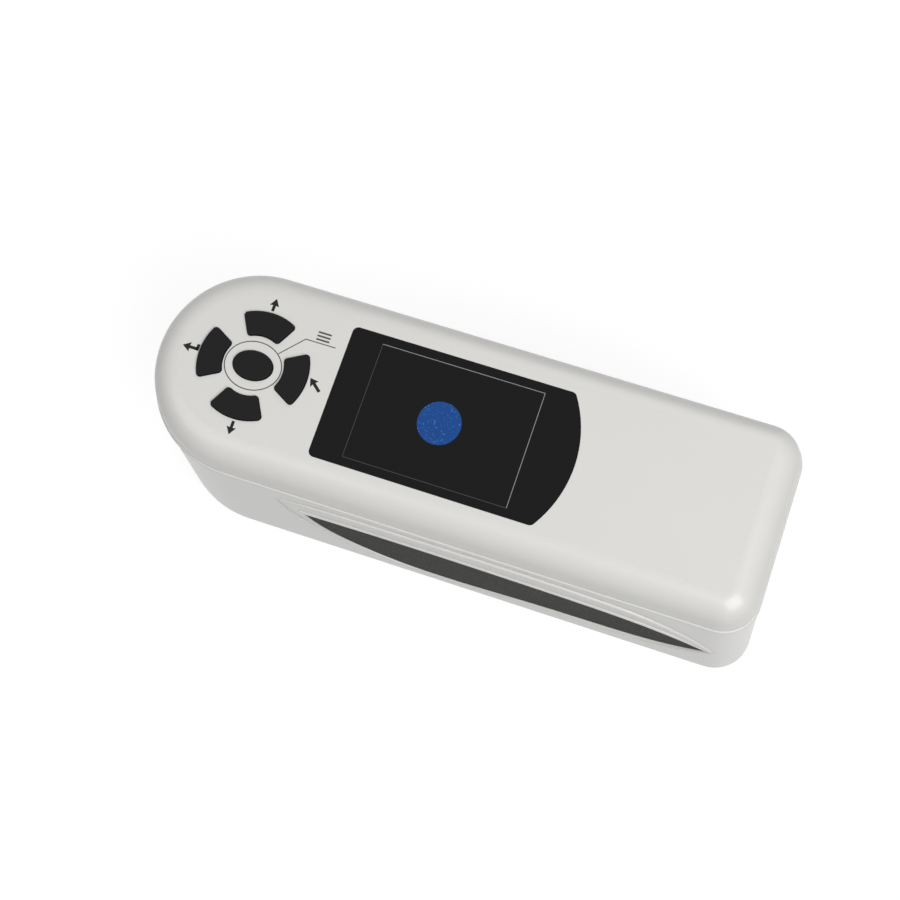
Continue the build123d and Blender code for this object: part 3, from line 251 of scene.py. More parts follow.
FINISHES = (
    Finish("shell_white", rgb(220, 219, 216), roughness=0.34, spread=0.04, cloud=0.012, cloud_scale=30.0,
           grain=0.1, grain_scale=1400.0, coat=0.2),
    SpeckledFinish("grip_rubber", rgb(52, 52, 50), roughness=0.8, spread=0.06, cloud=0.1,
                   cloud_scale=500.0, grain=0.9, grain_scale=1700.0, grain_depth=0.22 * MM, specular=0.2,
                   fleck=rgb(98, 98, 93), fleck_scale=1900.0),
    Finish("window_black", rgb(17, 17, 17), roughness=0.14, spread=0.03, cloud=0.05, cloud_scale=50.0,
           grain=0.0, specular=0.12),
    Finish("gasket_foam", rgb(34, 34, 34), roughness=0.9, grain=0.4, grain_depth=0.1 * MM, specular=0.2),
    Finish("screen_panel", rgb(24, 24, 28), roughness=0.25, specular=0.2),
    Finish("frame_black", rgb(36, 36, 36), roughness=0.6, grain=0.3, specular=0.3),
    Finish("key_black", rgb(22, 22, 22), roughness=0.55, spread=0.05, cloud=0.08, cloud_scale=250.0,
           grain=0.3, grain_scale=2400.0, grain_depth=0.05 * MM, specular=0.12),
    Finish("board_green", rgb(24, 92, 54), roughness=0.35, spread=0.05, cloud=0.1, cloud_scale=400.0),
    Finish("switch_black", rgb(30, 30, 30), roughness=0.55, grain=0.2, specular=0.3),
    Finish("screw_steel", rgb(190, 190, 190), roughness=0.3, spread=0.08, cloud=0.05, cloud_scale=300.0,
           metallic=1.0),
    Finish("foot_rubber", rgb(42, 42, 42), roughness=0.85, spread=0.05, cloud=0.06, cloud_scale=300.0,
           grain=0.5, grain_scale=1800.0, grain_depth=0.1 * MM, specular=0.25),
    Finish("ring_metal", rgb(46, 46, 48), roughness=0.38, spread=0.05, cloud=0.05, cloud_scale=200.0,
           metallic=0.7),
    Finish("sphere_white", rgb(238, 238, 235), roughness=0.95, spread=0.03, cloud=0.02, cloud_scale=200.0,
           grain=0.3),
    Finish("lens_glass", rgb(240, 246, 246), roughness=0.05, spread=0.01, cloud=0.0, transmission=1.0,
           grain=0.0),
    Finish("lamp_clear", rgb(235, 235, 220), roughness=0.12, transmission=0.6, grain=0.0),
    Finish("ribbon_plastic", rgb(220, 214, 190), roughness=0.4),
    Finish("cell_wrap", rgb(52, 96, 70), roughness=0.3, spread=0.05, cloud=0.05, cloud_scale=80.0),
    Finish("contact_nickel", rgb(205, 203, 198), roughness=0.25, spread=0.06, cloud=0.05,
           cloud_scale=200.0, metallic=1.0),
    Finish("panel_grey", rgb(190, 189, 186), roughness=0.5, spread=0.04, cloud=0.03, cloud_scale=60.0,
           grain=0.3, grain_scale=1800.0),
    Finish("knob_black", rgb(34, 34, 34), roughness=0.5, spread=0.05, cloud=0.04, cloud_scale=200.0,
           grain=0.3, specular=0.3),
)
INK_BLACK = Finish("ink_black", rgb(24, 24, 24), roughness=0.6, spread=0.08, cloud=0.1, cloud_scale=900.0,
                   grain=0.2, grain_scale=4000.0, specular=0.2)
INK_GREY = Finish("ink_grey", rgb(80, 80, 80), roughness=0.6, spread=0.08, cloud=0.1, cloud_scale=900.0,
                  grain=0.2, grain_scale=4000.0, specular=0.3)
# The screen's one frame line in two tones: the lighter is painted highlight on its far and rear sides, the
# darker is painted shade on its near and nose sides.
SCREEN_LINE_PAINTED_HIGHLIGHT = Finish("screen_line_painted_highlight", rgb(150, 152, 154), roughness=0.5, spread=0.05,
                            cloud=0.05, cloud_scale=200.0, grain=0.0, specular=0.2)
SCREEN_LINE_PAINTED_SHADE = Finish("screen_line_painted_shade", rgb(66, 66, 66), roughness=0.5, spread=0.05, cloud=0.05,
                         cloud_scale=200.0, grain=0.0, specular=0.2)
DISC_BLUE = SpeckledFinish("disc_blue", rgb(20, 70, 138), roughness=0.35, spread=0.06, cloud=0.12,
                           cloud_scale=260.0, grain=0.0, specular=0.2, fleck=rgb(74, 118, 190),
                           fleck_scale=1500.0)
# A mid grey painted as the shadow in the gap of the rear seam, laid as a bead on the white shell.
SEAM_SHADOW_PAINT = Finish("painted_seam_shadow", rgb(104, 102, 100), roughness=0.8, spread=0.05, cloud=0.05,
                   cloud_scale=200.0, grain=0.2, specular=0.2)


@dataclass
class Palette:
    """The materials, one for each slot of the record and a few for prints and for the grey bead painted as
    the shadow in the rear seam.
    """

    materials: dict[str, bpy.types.Material] = field(default_factory=dict)

    def __post_init__(self) -> None:
        """Builds the finishes of the slots."""
        for finish in FINISHES:
            self.materials[finish.name] = finish.build()

    def of(self, finish: Finish) -> bpy.types.Material:
        """Gives the material of a finish, built once.

        Args:
            finish: The finish.

        Returns:
            Its material.
        """
        if finish.name not in self.materials:
            self.materials[finish.name] = finish.build()
        return self.materials[finish.name]

    def dress_nodes(self) -> None:
        """Gives every carried-over node the material of its slot."""
        slots = {part["node"]: part["material_slot"] for part in frame["record"]["subparts"]}
        for node, piece in frame["nodes"].items():
            piece.data.materials.clear()
            piece.data.materials.append(self.materials[slots[node]])
            log.info("%s dressed as %s", node, slots[node])


@dataclass(frozen=True)
class SoftEdges:
    """The rounding of the sharp edges of carried-over nodes."""

    widths: tuple[tuple[str, float], ...] = (
        ("display_window", 0.25 * MM),
        ("rear_lid", 0.3 * MM),
        ("power_switch_knob", 0.15 * MM),
        ("usb_socket", 0.1 * MM),
        ("near_side_grip", 0.35 * MM),
        ("far_side_grip", 0.35 * MM),
    )
    steps: int = 3
    joined: float = 0.001 * MM
    sharp: float = math.radians(40)

    def build(self) -> None:
        """Rounds the edges of each node in its place."""
        for node, width in self.widths:
            piece = frame["nodes"][node]
            weld = piece.modifiers.new("joined_corners", "WELD")
            weld.merge_threshold = self.joined
            edge = piece.modifiers.new("rounded_edges", "BEVEL")
            edge.width = width
            edge.segments = self.steps
            edge.limit_method = "ANGLE"
            edge.angle_limit = self.sharp
            edge.harden_normals = True


@dataclass
class Workshop:
    """Turns meshes into pieces that ride on a body and wear a finish."""

    palette: Palette
    bead_steps: int = 3
    bead_weld: float = 0.0001 * MM
    thinnest_end: float = 0.05
    taper_power: float = 0.35

    def piece(self, name: str, mesh: bpy.types.Mesh, body: str, slot: str,
              finish: Finish | None = None) -> bpy.types.Object:
        """Makes a piece from a mesh.

        Args:
            name: Name of the piece.
            mesh: Its mesh, already in place.
            body: The body that it rides on.
            slot: The record's slot of its finish.
            finish: A finish other than the slot's own.

        Returns:
            The piece.
        """
        piece = bpy.data.objects.new(name, mesh)
        bpy.context.scene.collection.objects.link(piece)
        mesh.materials.clear()
        mesh.materials.append(self.palette.of(finish) if finish else self.palette.materials[slot])
        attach(piece, body)
        log.info("%s made, %d faces", name, len(mesh.polygons))
        return piece

    def mesh(self, name: str, bm: bmesh.types.BMesh, smooth: bool = True) -> bpy.types.Mesh:
        """Ends a bmesh as a mesh with outward normals.

        Args:
            name: Name of the mesh.
            bm: The bmesh, which is freed.
            smooth: Whether its faces are shaded smooth.

        Returns:
            The mesh.
        """
        bmesh.ops.recalc_face_normals(bm, faces=bm.faces)
        for face in bm.faces:
            face.smooth = smooth
        mesh = bpy.data.meshes.new(name)
        bm.to_mesh(mesh)
        bm.free()
        return mesh

    def bead(self, name: str, points: list[Vector], radius: float, body: str, slot: str,
             finish: Finish | None = None, taper: bool = False, closed: bool = False) -> bpy.types.Object:
        """Makes a round bead along points.

        Args:
            name: Name of the piece.
            points: The middle line of the bead.
            radius: Its radius.
            body: The body that it rides on.
            slot: The record's slot of its finish.
            finish: A finish other than the slot's own.
            taper: Whether both ends run out thin.
            closed: Whether the bead is a loop.

        Returns:
            The piece.
        """
        curve = bpy.data.curves.new(name + "_line", "CURVE")
        curve.dimensions = "3D"
        curve.bevel_depth = radius
        curve.bevel_resolution = self.bead_steps
        curve.use_fill_caps = not closed
        line = curve.splines.new("POLY")
        line.points.add(len(points) - 1)
        line.use_cyclic_u = closed
        last = len(points) - 1
        for index, place in enumerate(points):
            line.points[index].co = (*place, 1.0)
            if taper:
                swell = math.sin(math.pi * index / last) ** self.taper_power
                line.points[index].radius = max(self.thinnest_end, swell)
        holder = bpy.data.objects.new(name + "_holder", curve)
        mesh = bpy.data.meshes.new_from_object(holder)
        bpy.data.objects.remove(holder)
        bm = bmesh.new()
        bm.from_mesh(mesh)
        bmesh.ops.remove_doubles(bm, verts=bm.verts, dist=self.bead_weld)
        bpy.data.meshes.remove(mesh)
        return self.piece(name, self.mesh(name, bm), body, slot, finish)

    def plate(self, name: str, shapes: list[list[Vector]], lift: Vector, body: str, slot: str,
              finish: Finish) -> bpy.types.Object:
        """Makes flat shapes with a small thickness.

        Args:
            name: Name of the piece.
            shapes: The corners of each flat shape.
            lift: The thickness, as a vector.
            body: The body that it rides on.
            slot: The record's slot of its finish.
            finish: The finish.

        Returns:
            The piece.
        """
        bm = bmesh.new()
        for corners in shapes:
            face = bm.faces.new([bm.verts.new(corner) for corner in corners])
            raised = bmesh.ops.extrude_face_region(bm, geom=[face], use_keep_orig=True)
            moved = [item for item in raised["geom"] if isinstance(item, bmesh.types.BMVert)]
            bmesh.ops.translate(bm, verts=moved, vec=lift)
        return self.piece(name, self.mesh(name, bm, smooth=False), body, slot, finish)


@dataclass
class BodyForm:
    """The leaning outline of the body: round nose, straight sides and round rear corners."""

    half_length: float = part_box("lower_shell")[1][0]
    half_width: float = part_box("lower_shell")[1][1]
    skirt_top: float = 3.2 * MM
    crown_height: float = 15.2 * MM
    lip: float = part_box("upper_shell")[1][2] - crown_height
    nose_setback: float = 5.9 * MM
    rear_setback: float = 3.1 * MM
    narrowing: float = 1.5 * MM
    corner: float = 13.0 * MM
    corner_narrowing: float = 1.0 * MM
    arc_steps: int = 40
    line_steps: int = 12

    def lean(self, z: float) -> float:
        """Gives how far up the leaning wall a height is, from 0 to 1."""
        return max(z - self.skirt_top, 0.0) / (self.lip - self.skirt_top)

    def rear_x(self, z: float) -> float:
        """Gives the rear face at a height."""
        return self.half_length - self.rear_setback * self.lean(z)

    def side_y(self, z: float) -> float:
        """Gives the side face at a height."""
        return self.half_width - self.narrowing * self.lean(z)

    def outline(self, z: float, inset: float) -> list[Vector]:
        """Gives the points of the outline of a height.

        Args:
            z: The height.
            inset: How far inside the wall the outline lies.

        Returns:
            The points, once round.
        """
        lean = self.lean(z)
        half = self.side_y(z) - inset
        nose = -self.half_length + self.nose_setback * lean + inset + half
        rear = self.rear_x(z) - inset
        corner = self.corner - self.corner_narrowing * lean - inset
        points = []
        for centre, radius, start, sweep in (
            ((nose, 0.0), half, 90, 180),
            ((rear - corner, -half + corner), corner, -90, 90),
            ((rear - corner, half - corner), corner, 0, 90),
        ):
            for step in range(self.arc_steps + 1):
                angle = math.radians(start + sweep * step / self.arc_steps)
                points.append(Vector((centre[0] + radius * math.cos(angle),
                                      centre[1] + radius * math.sin(angle), z)))
        return points

    def wall_line(self, places: list[Place], side: Side) -> list[Vector]:
        """Draws a smooth line over a side wall through places.

        Args:
            places: Each place as (x, z).
            side: The side.

        Returns:
            The points.
        """
        ends = [places[0], *places, places[-1]]
        points = []
        for before, start, end, after in zip(ends, ends[1:], ends[2:], ends[3:]):
            for step in range(self.line_steps):
                t = step / self.line_steps
                blend = [0.5 * ((2 * b) + (c - a) * t + (2 * a - 5 * b + 4 * c - d) * t * t
                                + (3 * b - a - 3 * c + d) * t ** 3)
                         for a, b, c, d in zip(before, start, end, after)]
                points.append(blend)
        points.append(list(places[-1]))
        return [Vector((x, side.value * self.side_y(z), z)) for x, z in points]


@dataclass
class KeyPad:
    """The centre key and the four curved keys round it, with soft edges."""

    shop: Workshop
    inner: float = 10.6 * MM
    outer: float = 18.8 * MM
    half_angle: float = 29.0
    centre_length: float = 13.6 * MM
    centre_width: float = 9.9 * MM
    proud: float = 0.9 * MM
    flange: float = 0.8 * MM
    flange_thickness: float = 1.0 * MM
    edge: float = 0.5 * MM
    corner: float = 1.1 * MM
    arc_steps: int = 16
    corner_steps: int = 5
    edge_steps: int = 4
    sharp_turn: float = math.radians(45)
    ceiling_gap: float = 0.3 * MM
    flange_relief: float = 0.05 * MM
    flange_edge: float = 0.1 * MM
    stem_radius: float = 2.0 * MM
    stem_steps: int = 24
    shading_weight: int = 100
    directions: dict[str, int] = field(
        default_factory=lambda: {"key_right": 0, "key_up": 90, "key_left": 180, "key_down": 270})

    def centre_x(self) -> float:
        """Gives the middle of the centre key along the body."""
        low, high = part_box("key_centre")
        return (low[0] + high[0]) / 2

    def arc_outline(self, direction: float, margin: float) -> list[Vector]:
        """Gives the outline of a curved key.

        Args:
            direction: Its direction from the centre key, in degrees.
            margin: How far the outline is grown.

        Returns:
            The points.
        """
        points = []
        for radius, turn in ((self.outer + margin, 1), (self.inner - margin, -1)):
            reach = self.half_angle + math.degrees(margin / radius)
            for step in range(self.arc_steps + 1):
                angle = math.radians(direction + turn * reach * (2 * step / self.arc_steps - 1))
                points.append(Vector((self.centre_x() + radius * math.cos(angle),
                                      radius * math.sin(angle), 0.0)))
        return points

    def oval_outline(self, margin: float) -> list[Vector]:
        """Gives the oval outline of the centre key.

        Args:
            margin: How far the outline is grown.

        Returns:
            The points.
        """
        turns = 4 * self.arc_steps
        angles = [2 * math.pi * step / turns for step in range(turns)]
        return [Vector((self.centre_x() + (self.centre_length / 2 + margin) * math.cos(a),
                        (self.centre_width / 2 + margin) * math.sin(a), 0.0)) for a in angles]

    def block(self, bm: bmesh.types.BMesh, outline: list[Vector], bottom: float, top: float,
              corner: float, edge: float) -> None:
        """Adds one prism with round upright corners and a soft top edge.

        Args:
            bm: The bmesh.
            outline: The outline of the prism.
            bottom: Height of its bottom.
            top: Height of its top.
            corner: Radius of the sharp corners, or 0.
            edge: Radius of the top edge.
        """
        face = bm.faces.new([bm.verts.new((p.x, p.y, bottom)) for p in outline])
        if corner:
            sharp = [v for v in face.verts if self.turn_at(v, face) > self.sharp_turn]
            bmesh.ops.bevel(bm, geom=sharp, offset=corner, offset_type="OFFSET", segments=self.corner_steps,
                            affect="VERTICES", profile=0.5, material=-1)
            face = max(bm.faces, key=lambda f: len(f.verts))
        raised = bmesh.ops.extrude_face_region(bm, geom=[face], use_keep_orig=True)["geom"]
        bmesh.ops.translate(bm, verts=[v for v in raised if isinstance(v, bmesh.types.BMVert)],
                            vec=(0, 0, top - bottom))
        cap = next(f for f in raised if isinstance(f, bmesh.types.BMFace))
        bmesh.ops.bevel(bm, geom=list(cap.edges), offset=edge, offset_type="OFFSET",
                        segments=self.edge_steps, affect="EDGES", profile=0.5, material=-1,
                        clamp_overlap=True)

    @staticmethod
    def turn_at(vert: bmesh.types.BMVert, face: bmesh.types.BMFace) -> float:
        """Gives how sharply a face's edge turns at a corner.

        Args:
            vert: The corner.
            face: The face.

        Returns:
            The turn in radians.
        """
        loop = next(item for item in vert.link_loops if item.face == face)
        before = vert.co - loop.link_loop_prev.vert.co
        after = loop.link_loop_next.vert.co - vert.co
        return before.angle(after)

    def cap(self, name: str, cap_outline: list[Vector], flange_outline: list[Vector],
            corner: float) -> None:
        """Makes one key cap in place of its node.

        Args:
            name: The node.
            cap_outline: Outline of the cap.
            flange_outline: Outline of the flange under the shell.
            corner: Radius of the cap's upright corners.
        """
        low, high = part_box(name)
        ceiling = high[2] - self.proud - (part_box("upper_shell")[1][2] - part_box("screen_frame")[1][2])
        flange_top = ceiling - self.ceiling_gap
        bm = bmesh.new()
        self.block(bm, flange_outline, flange_top - self.flange_thickness, flange_top - self.flange_relief,
                   0.0, self.flange_edge)
        rest = bmesh.new()
        self.block(rest, cap_outline, flange_top, high[2], corner, self.edge)
        cap_mesh = self.shop.mesh(name + "_upper", rest)
        bm.from_mesh(cap_mesh)
        bpy.data.meshes.remove(cap_mesh)
        stem_height = flange_top - self.flange_thickness - low[2]
        middle = sum(flange_outline, Vector()) / len(flange_outline)
        middle.z = low[2] + stem_height / 2
        bmesh.ops.create_cone(bm, cap_ends=True, segments=self.stem_steps, radius1=self.stem_radius,
                              radius2=self.stem_radius, depth=stem_height,
                              matrix=Matrix.Translation(middle))
        mesh = self.shop.mesh(name + "_rubber", bm)
        piece = self.shop.piece(name + "_rubber", mesh, name + "_cap", "key_black")
        even = piece.modifiers.new("even_shading", "WEIGHTED_NORMAL")
        even.weight = self.shading_weight
        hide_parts(name)

    def build(self) -> None:
        """Makes the five caps."""
        self.cap("key_centre", self.oval_outline(0.0), self.oval_outline(self.flange), 0.0)
        for name, direction in self.directions.items():
            self.cap(name, self.arc_outline(direction, 0.0), self.arc_outline(direction, self.flange),
                     self.corner)


@dataclass
class Prints:
    """The printed arrows, the ring and leader line round the centre key and the list icon."""

    shop: Workshop
    top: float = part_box("display_window")[1][2]
    sink: float = 0.01 * MM
    ink: float = 0.03 * MM
    line: float = 0.33 * MM
    arrow_width: float = 1.05 * MM
    head_length: float = 2.6 * MM
    head_width: float = 3.3 * MM
    notch_share: float = 0.1
    hooked_arrow: str = "arrow_left"
    hook_length: float = 1.7 * MM
    ring_radii: Place = (9.7 * MM, 8.3 * MM)
    arrows: tuple[tuple[str, Place, Place], ...] = (
        ("arrow_up", (-71.0, 19.7), (-71.0, 24.2)),
        ("arrow_down", (-70.0, -19.7), (-70.0, -24.4)),
        ("arrow_left", (-90.4, -0.2), (-95.6, -0.2)),
        ("arrow_right", (-46.5, -1.9), (-50.9, 1.8)),
    )
    leader: tuple[Place, ...] = ((-63.9, 6.4), (-56.9, 13.9), (-46.5, 13.9))
    icon_middle: Place = (-51.4, 16.3)
    icon_length: float = 4.6
    icon_width: float = 0.6 * MM
    icon_pitch: float = 1.25
    ring_steps: int = 120
    bead_radius: float = 0.25 * MM
    bead_proud: float = 0.09 * MM

    def strip(self, start: Vector, end: Vector, width: float) -> list[Vector]:
        """Gives the corners of a straight strip.

        Args:
            start: One end of its middle line.
            end: The other end.
            width: Its width.

        Returns:
            The four corners.
        """
        along = (end - start).normalized()
        across = Vector((-along.y, along.x, 0)) * width / 2
        return [start - across, end - across, end + across, start + across]

    def at(self, place: Place) -> Vector:
        """Gives a place on the top face from millimetres."""
        return Vector((place[0] * MM, place[1] * MM, self.top - self.sink))

    def arrow(self, name: str, tail: Vector, tip: Vector) -> None:
        """Prints one arrow.

        Args:
            name: Name of the piece.
            tail: Its tail.
            tip: The point of its head.
        """
        along = (tip - tail).normalized()
        across = Vector((-along.y, along.x, 0)) * self.head_width / 2
        neck = tip - along * self.head_length
        notch = neck + along * self.head_length * self.notch_share
        shapes = [self.strip(tail, notch, self.arrow_width), [neck - across, tip, neck + across, notch]]
        if name == self.hooked_arrow:
            hook_end = tail + Vector((0, self.hook_length, 0))
            hook_start = tail - Vector((0, self.arrow_width / 2, 0))
            shapes.append(self.strip(hook_start, hook_end, self.arrow_width))
        self.shop.plate(name, shapes, Vector((0, 0, self.ink + self.sink)), "case", "key_black", INK_BLACK)

    def ring(self) -> None:
        """Prints the thin oval ring, the top of a bead that lies sunk in the face."""
        middle = KeyPad(self.shop).centre_x()
        height = self.top - self.bead_radius + self.bead_proud
        angles = [2 * math.pi * step / self.ring_steps for step in range(self.ring_steps)]
        long_radius, short_radius = self.ring_radii
        points = [Vector((middle + long_radius * math.cos(a), short_radius * math.sin(a), height))
                  for a in angles]
        self.shop.bead("centre_key_ring", points, self.bead_radius, "case", "panel_grey", INK_GREY,
                       closed=True)

    def build(self) -> None:
        """Prints everything on the top face."""
        for name, tail, tip in self.arrows:
            self.arrow(name, self.at(tail), self.at(tip))
        self.ring()
        lift = Vector((0, 0, self.ink + self.sink))
        places = [self.at(place) for place in self.leader]
        lines = [self.strip(a, b, self.line) for a, b in zip(places, places[1:])]
        self.shop.plate("leader_line", lines, lift, "case", "panel_grey", INK_GREY)
        bars = []
        half = self.icon_length / 2
        for row in (-1, 0, 1):
            x, y = self.icon_middle
            y += row * self.icon_pitch
            bars.append(self.strip(self.at((x - half, y)), self.at((x + half, y)), self.icon_width))
        self.shop.plate("list_icon", bars, lift, "case", "key_black", INK_GREY)


@dataclass
class ScreenPicture:
    """What the screen shows: a thin frame and a round disc of the measured colour. The frame's far and rear
    lines are lighter as painted highlight, its near and nose lines darker as painted shade.
    """

    shop: Workshop
    top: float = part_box("display_window")[1][2]
    low: Place = (-31.9, -20.0)
    high: Place = (24.0, 19.9)
    line: float = 0.2
    sink: float = 0.01 * MM
    lift: float = 0.03 * MM
    disc_middle: Place = (-5.5 * MM, 0.0)
    disc_radius: float = 7.3 * MM
    disc_steps: int = 96

    def bar(self, start: Place, end: Place) -> list[Vector]:
        """Gives the corners of one frame line between two opposite corners, in millimetres."""
        height = self.top - self.sink
        return [Vector((x * MM, y * MM, height)) for x, y in
                (start, (end[0], start[1]), end, (start[0], end[1]))]

    def build(self) -> None:
        """Makes the frame lines and the disc."""
        left, bottom = self.low
        right, top = self.high
        half = self.line / 2
        lift = Vector((0, 0, self.lift))
        # Far and rear lines in the lighter grey as painted highlight; near and nose lines in the darker grey
        # as painted shade.
        bright = [self.bar((left, top - half), (right, top + half)),
                  self.bar((right - half, bottom), (right + half, top + half))]
        dim = [self.bar((left, bottom - half), (right, bottom + half)),
               self.bar((left - half, bottom), (left + half, top - half))]
        self.shop.plate("screen_frame_lit_sides", bright, lift, "case", "panel_grey", SCREEN_LINE_PAINTED_HIGHLIGHT)
        self.shop.plate("screen_frame_shaded_sides", dim, lift, "case", "panel_grey", SCREEN_LINE_PAINTED_SHADE)
        bm = bmesh.new()
        middle = Vector((*self.disc_middle, self.top + self.lift / 2))
        bmesh.ops.create_cone(bm, cap_ends=True, segments=self.disc_steps, radius1=self.disc_radius,
                              radius2=self.disc_radius, depth=self.lift, matrix=Matrix.Translation(middle))
        self.shop.piece("color_disc", self.shop.mesh("color_disc", bm, smooth=False), "case",
                        "screen_panel", DISC_BLUE)


@dataclass
class ShellTrim:
    """Beads of the moulding: the lip round the crown, the side ridges and the grip rims; and a grey bead
    along the rear seam, painted as the shadow in its gap.
    """

    shop: Workshop
    form: BodyForm = field(default_factory=BodyForm)
    lip_radius: float = 0.9 * MM
    lip_inset: float = 0.45 * MM
    lip_rise: float = 0.75 * MM
    seam_radius: float = 0.3 * MM
    seam_drop: float = 0.35 * MM
    seam_half: float = 25.0 * MM
    ridge_places: tuple[Place, ...] = (
        (-55.0, 58.2), (-38.0, 60.9), (-20.0, 62.0), (25.0, 62.6), (50.0, 61.2), (72.0, 57.4), (88.0, 48.0),
        (101.0, 32.4),
    )
    ridge_half_height: float = 2.3 * MM
    ridge_rise: float = 0.95 * MM
    rim_half_height: float = 1.0 * MM
    rim_offset: float = 0.6 * MM
    rim_rise: float = 0.6 * MM
    rim_inset: float = 0.5 * MM
    rim_steps: int = 90
    tip_margin: float = 0.02 * MM

    def grip_edge(self, node: str) -> list[Place]:
        """Reads the outline of a grip as seen from its side, grown to the middle line of its rim.

        Args:
            node: The node of the grip.

        Returns:
            The places as (x, z), once round: the upper edge to the rear, then the lower one back.
        """
        grip = frame["nodes"][node]
        corners = [grip.matrix_world @ vert.co for vert in grip.data.vertices]
        ends = [(corners[a], corners[b]) for a, b in (edge.vertices for edge in grip.data.edges)]
        low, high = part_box(node)
        middle = (low[0] + high[0]) / 2
        half = (high[0] - low[0]) / 2 - self.tip_margin
        upper = []
        lower = []
        for step in range(self.rim_steps + 1):
            x = middle - half * math.cos(math.pi * step / self.rim_steps)
            heights = [a.z + (b.z - a.z) * (x - a.x) / (b.x - a.x) for a, b in ends
                       if (a.x - x) * (b.x - x) < 0]
            upper.append((x, max(heights) + self.rim_offset))
            lower.append((x, min(heights) - self.rim_offset))
        return upper + lower[-2:0:-1]

    def flatten(self, piece: bpy.types.Object, side: Side, share: float, inset: float) -> None:
        """Presses a bead flat against a side wall.

        Args:
            piece: The bead.
            side: The side.
            share: What its depth is multiplied by.
            inset: How far inside the wall its middle line lies.
        """
        for vert in piece.data.vertices:
            line = self.form.side_y(vert.co.z) - inset
            vert.co.y = side.value * (line + (abs(vert.co.y) - line) * share)

    def ridge_bead(self, side: Side) -> None:
        """Makes the ridge along the top of a side scoop.

        Args:
            side: The side.
        """
        line = self.form.wall_line([(x * MM, z * MM) for x, z in self.ridge_places], side)
        piece = self.shop.bead(f"{side.name.lower()}_side_ridge", line, self.ridge_half_height, "case",
                               "shell_white", taper=True)
        self.flatten(piece, side, self.ridge_rise / self.ridge_half_height, 0.0)

    def grip_rim(self, side: Side) -> None:
        """Makes the soft rim round a grip.

        Args:
            side: The side.
        """
        name = side.name.lower()
        line = [Vector((x, side.value * (self.form.side_y(z) - self.rim_inset), z))
                for x, z in self.grip_edge(f"{name}_side_grip")]
        piece = self.shop.bead(f"{name}_grip_rim", line, self.rim_half_height, "case", "shell_white",
                               closed=True)
        self.flatten(piece, side, self.rim_rise / self.rim_half_height, self.rim_inset)

    def build(self) -> None:
        """Makes the beads on both sides and round the body."""
        lip = self.form.outline(self.form.lip + self.lip_rise, self.lip_inset)
        self.shop.bead("crown_lip", lip, self.lip_radius, "case", "shell_white", closed=True)
        for side in Side:
            self.ridge_bead(side)
            self.grip_rim(side)
        # The rear seam bead is grey: painted shadow of the gap along the rear end.
        seam_z = self.form.lip - self.seam_drop
        seam = [Vector((self.form.rear_x(seam_z), share * self.seam_half, seam_z)) for share in (-1, 0, 1)]
        self.shop.bead("rear_seam_shadow", seam, self.seam_radius, "case", "gasket_foam", SEAM_SHADOW_PAINT)


@dataclass
class RearDetails:
    """Ribs in the finger notch of the lid and the marks by the slide switch."""

    shop: Workshop
    form: BodyForm = field(default_factory=BodyForm)
    notch_z: float = 45.6 * MM
    notch_depth: float = 1.0 * MM
    rib_half: float = 4.5 * MM
    rib_radius: float = 0.35 * MM
    rib_pitch: float = 1.1 * MM
    mark_z: float = 63.4 * MM
    mark_half: float = 0.8 * MM
    mark_radius: float = 0.14 * MM
    mark_distance: float = 4.0 * MM
    mark_steps: int = 32

    def build(self) -> None:
        """Makes the ribs and the marks."""
        floor_x = self.form.rear_x(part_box("rear_lid")[1][2]) - self.notch_depth
        for index, row in enumerate((-1, 0, 1)):
            z = self.notch_z + row * self.rib_pitch
            rib = [Vector((floor_x, y * self.rib_half, z)) for y in (-1, 0, 1)]
            self.shop.bead(f"lid_notch_rib_{index}", rib, self.rib_radius, "lid", "shell_white")
        low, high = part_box("power_switch_knob")
        left = (low[1] + high[1]) / 2
        face = self.form.rear_x(self.mark_z)
        line = [Vector((face, left + self.mark_distance, self.mark_z + share * self.mark_half))
                for share in (-1, 0, 1)]
        self.shop.bead("switch_on_mark", line, self.mark_radius, "case", "key_black", INK_BLACK)
        angles = [2 * math.pi * step / self.mark_steps for step in range(self.mark_steps)]
        circle = [Vector((face, left + self.mark_half * math.cos(a),
                          self.mark_z + self.mark_half * math.sin(a))) for a in angles]
        self.shop.bead("switch_off_mark", circle, self.mark_radius, "case", "key_black", INK_BLACK,
                       closed=True)


@dataclass(frozen=True)
class Lamp:
    """A soft square lamp: where it hangs and the edge of its square, in metres, and its power in watts."""

    name: str
    place: tuple[float, float, float]
    size: float
    watts: float

    def hang(self, target: Vector) -> None:
        """Hangs the lamp.

        Args:
            target: What it points at.
        """
        data = bpy.data.lights.new(self.name, "AREA")
        data.shape = "SQUARE"
        data.size = self.size
        data.energy = self.watts
        lamp = bpy.data.objects.new(self.name, data)
        lamp.location = self.place
        lamp.rotation_mode = "QUATERNION"
        lamp.rotation_quaternion = (target - lamp.location).to_track_quat("-Z", "Y")
        bpy.context.scene.collection.objects.link(lamp)


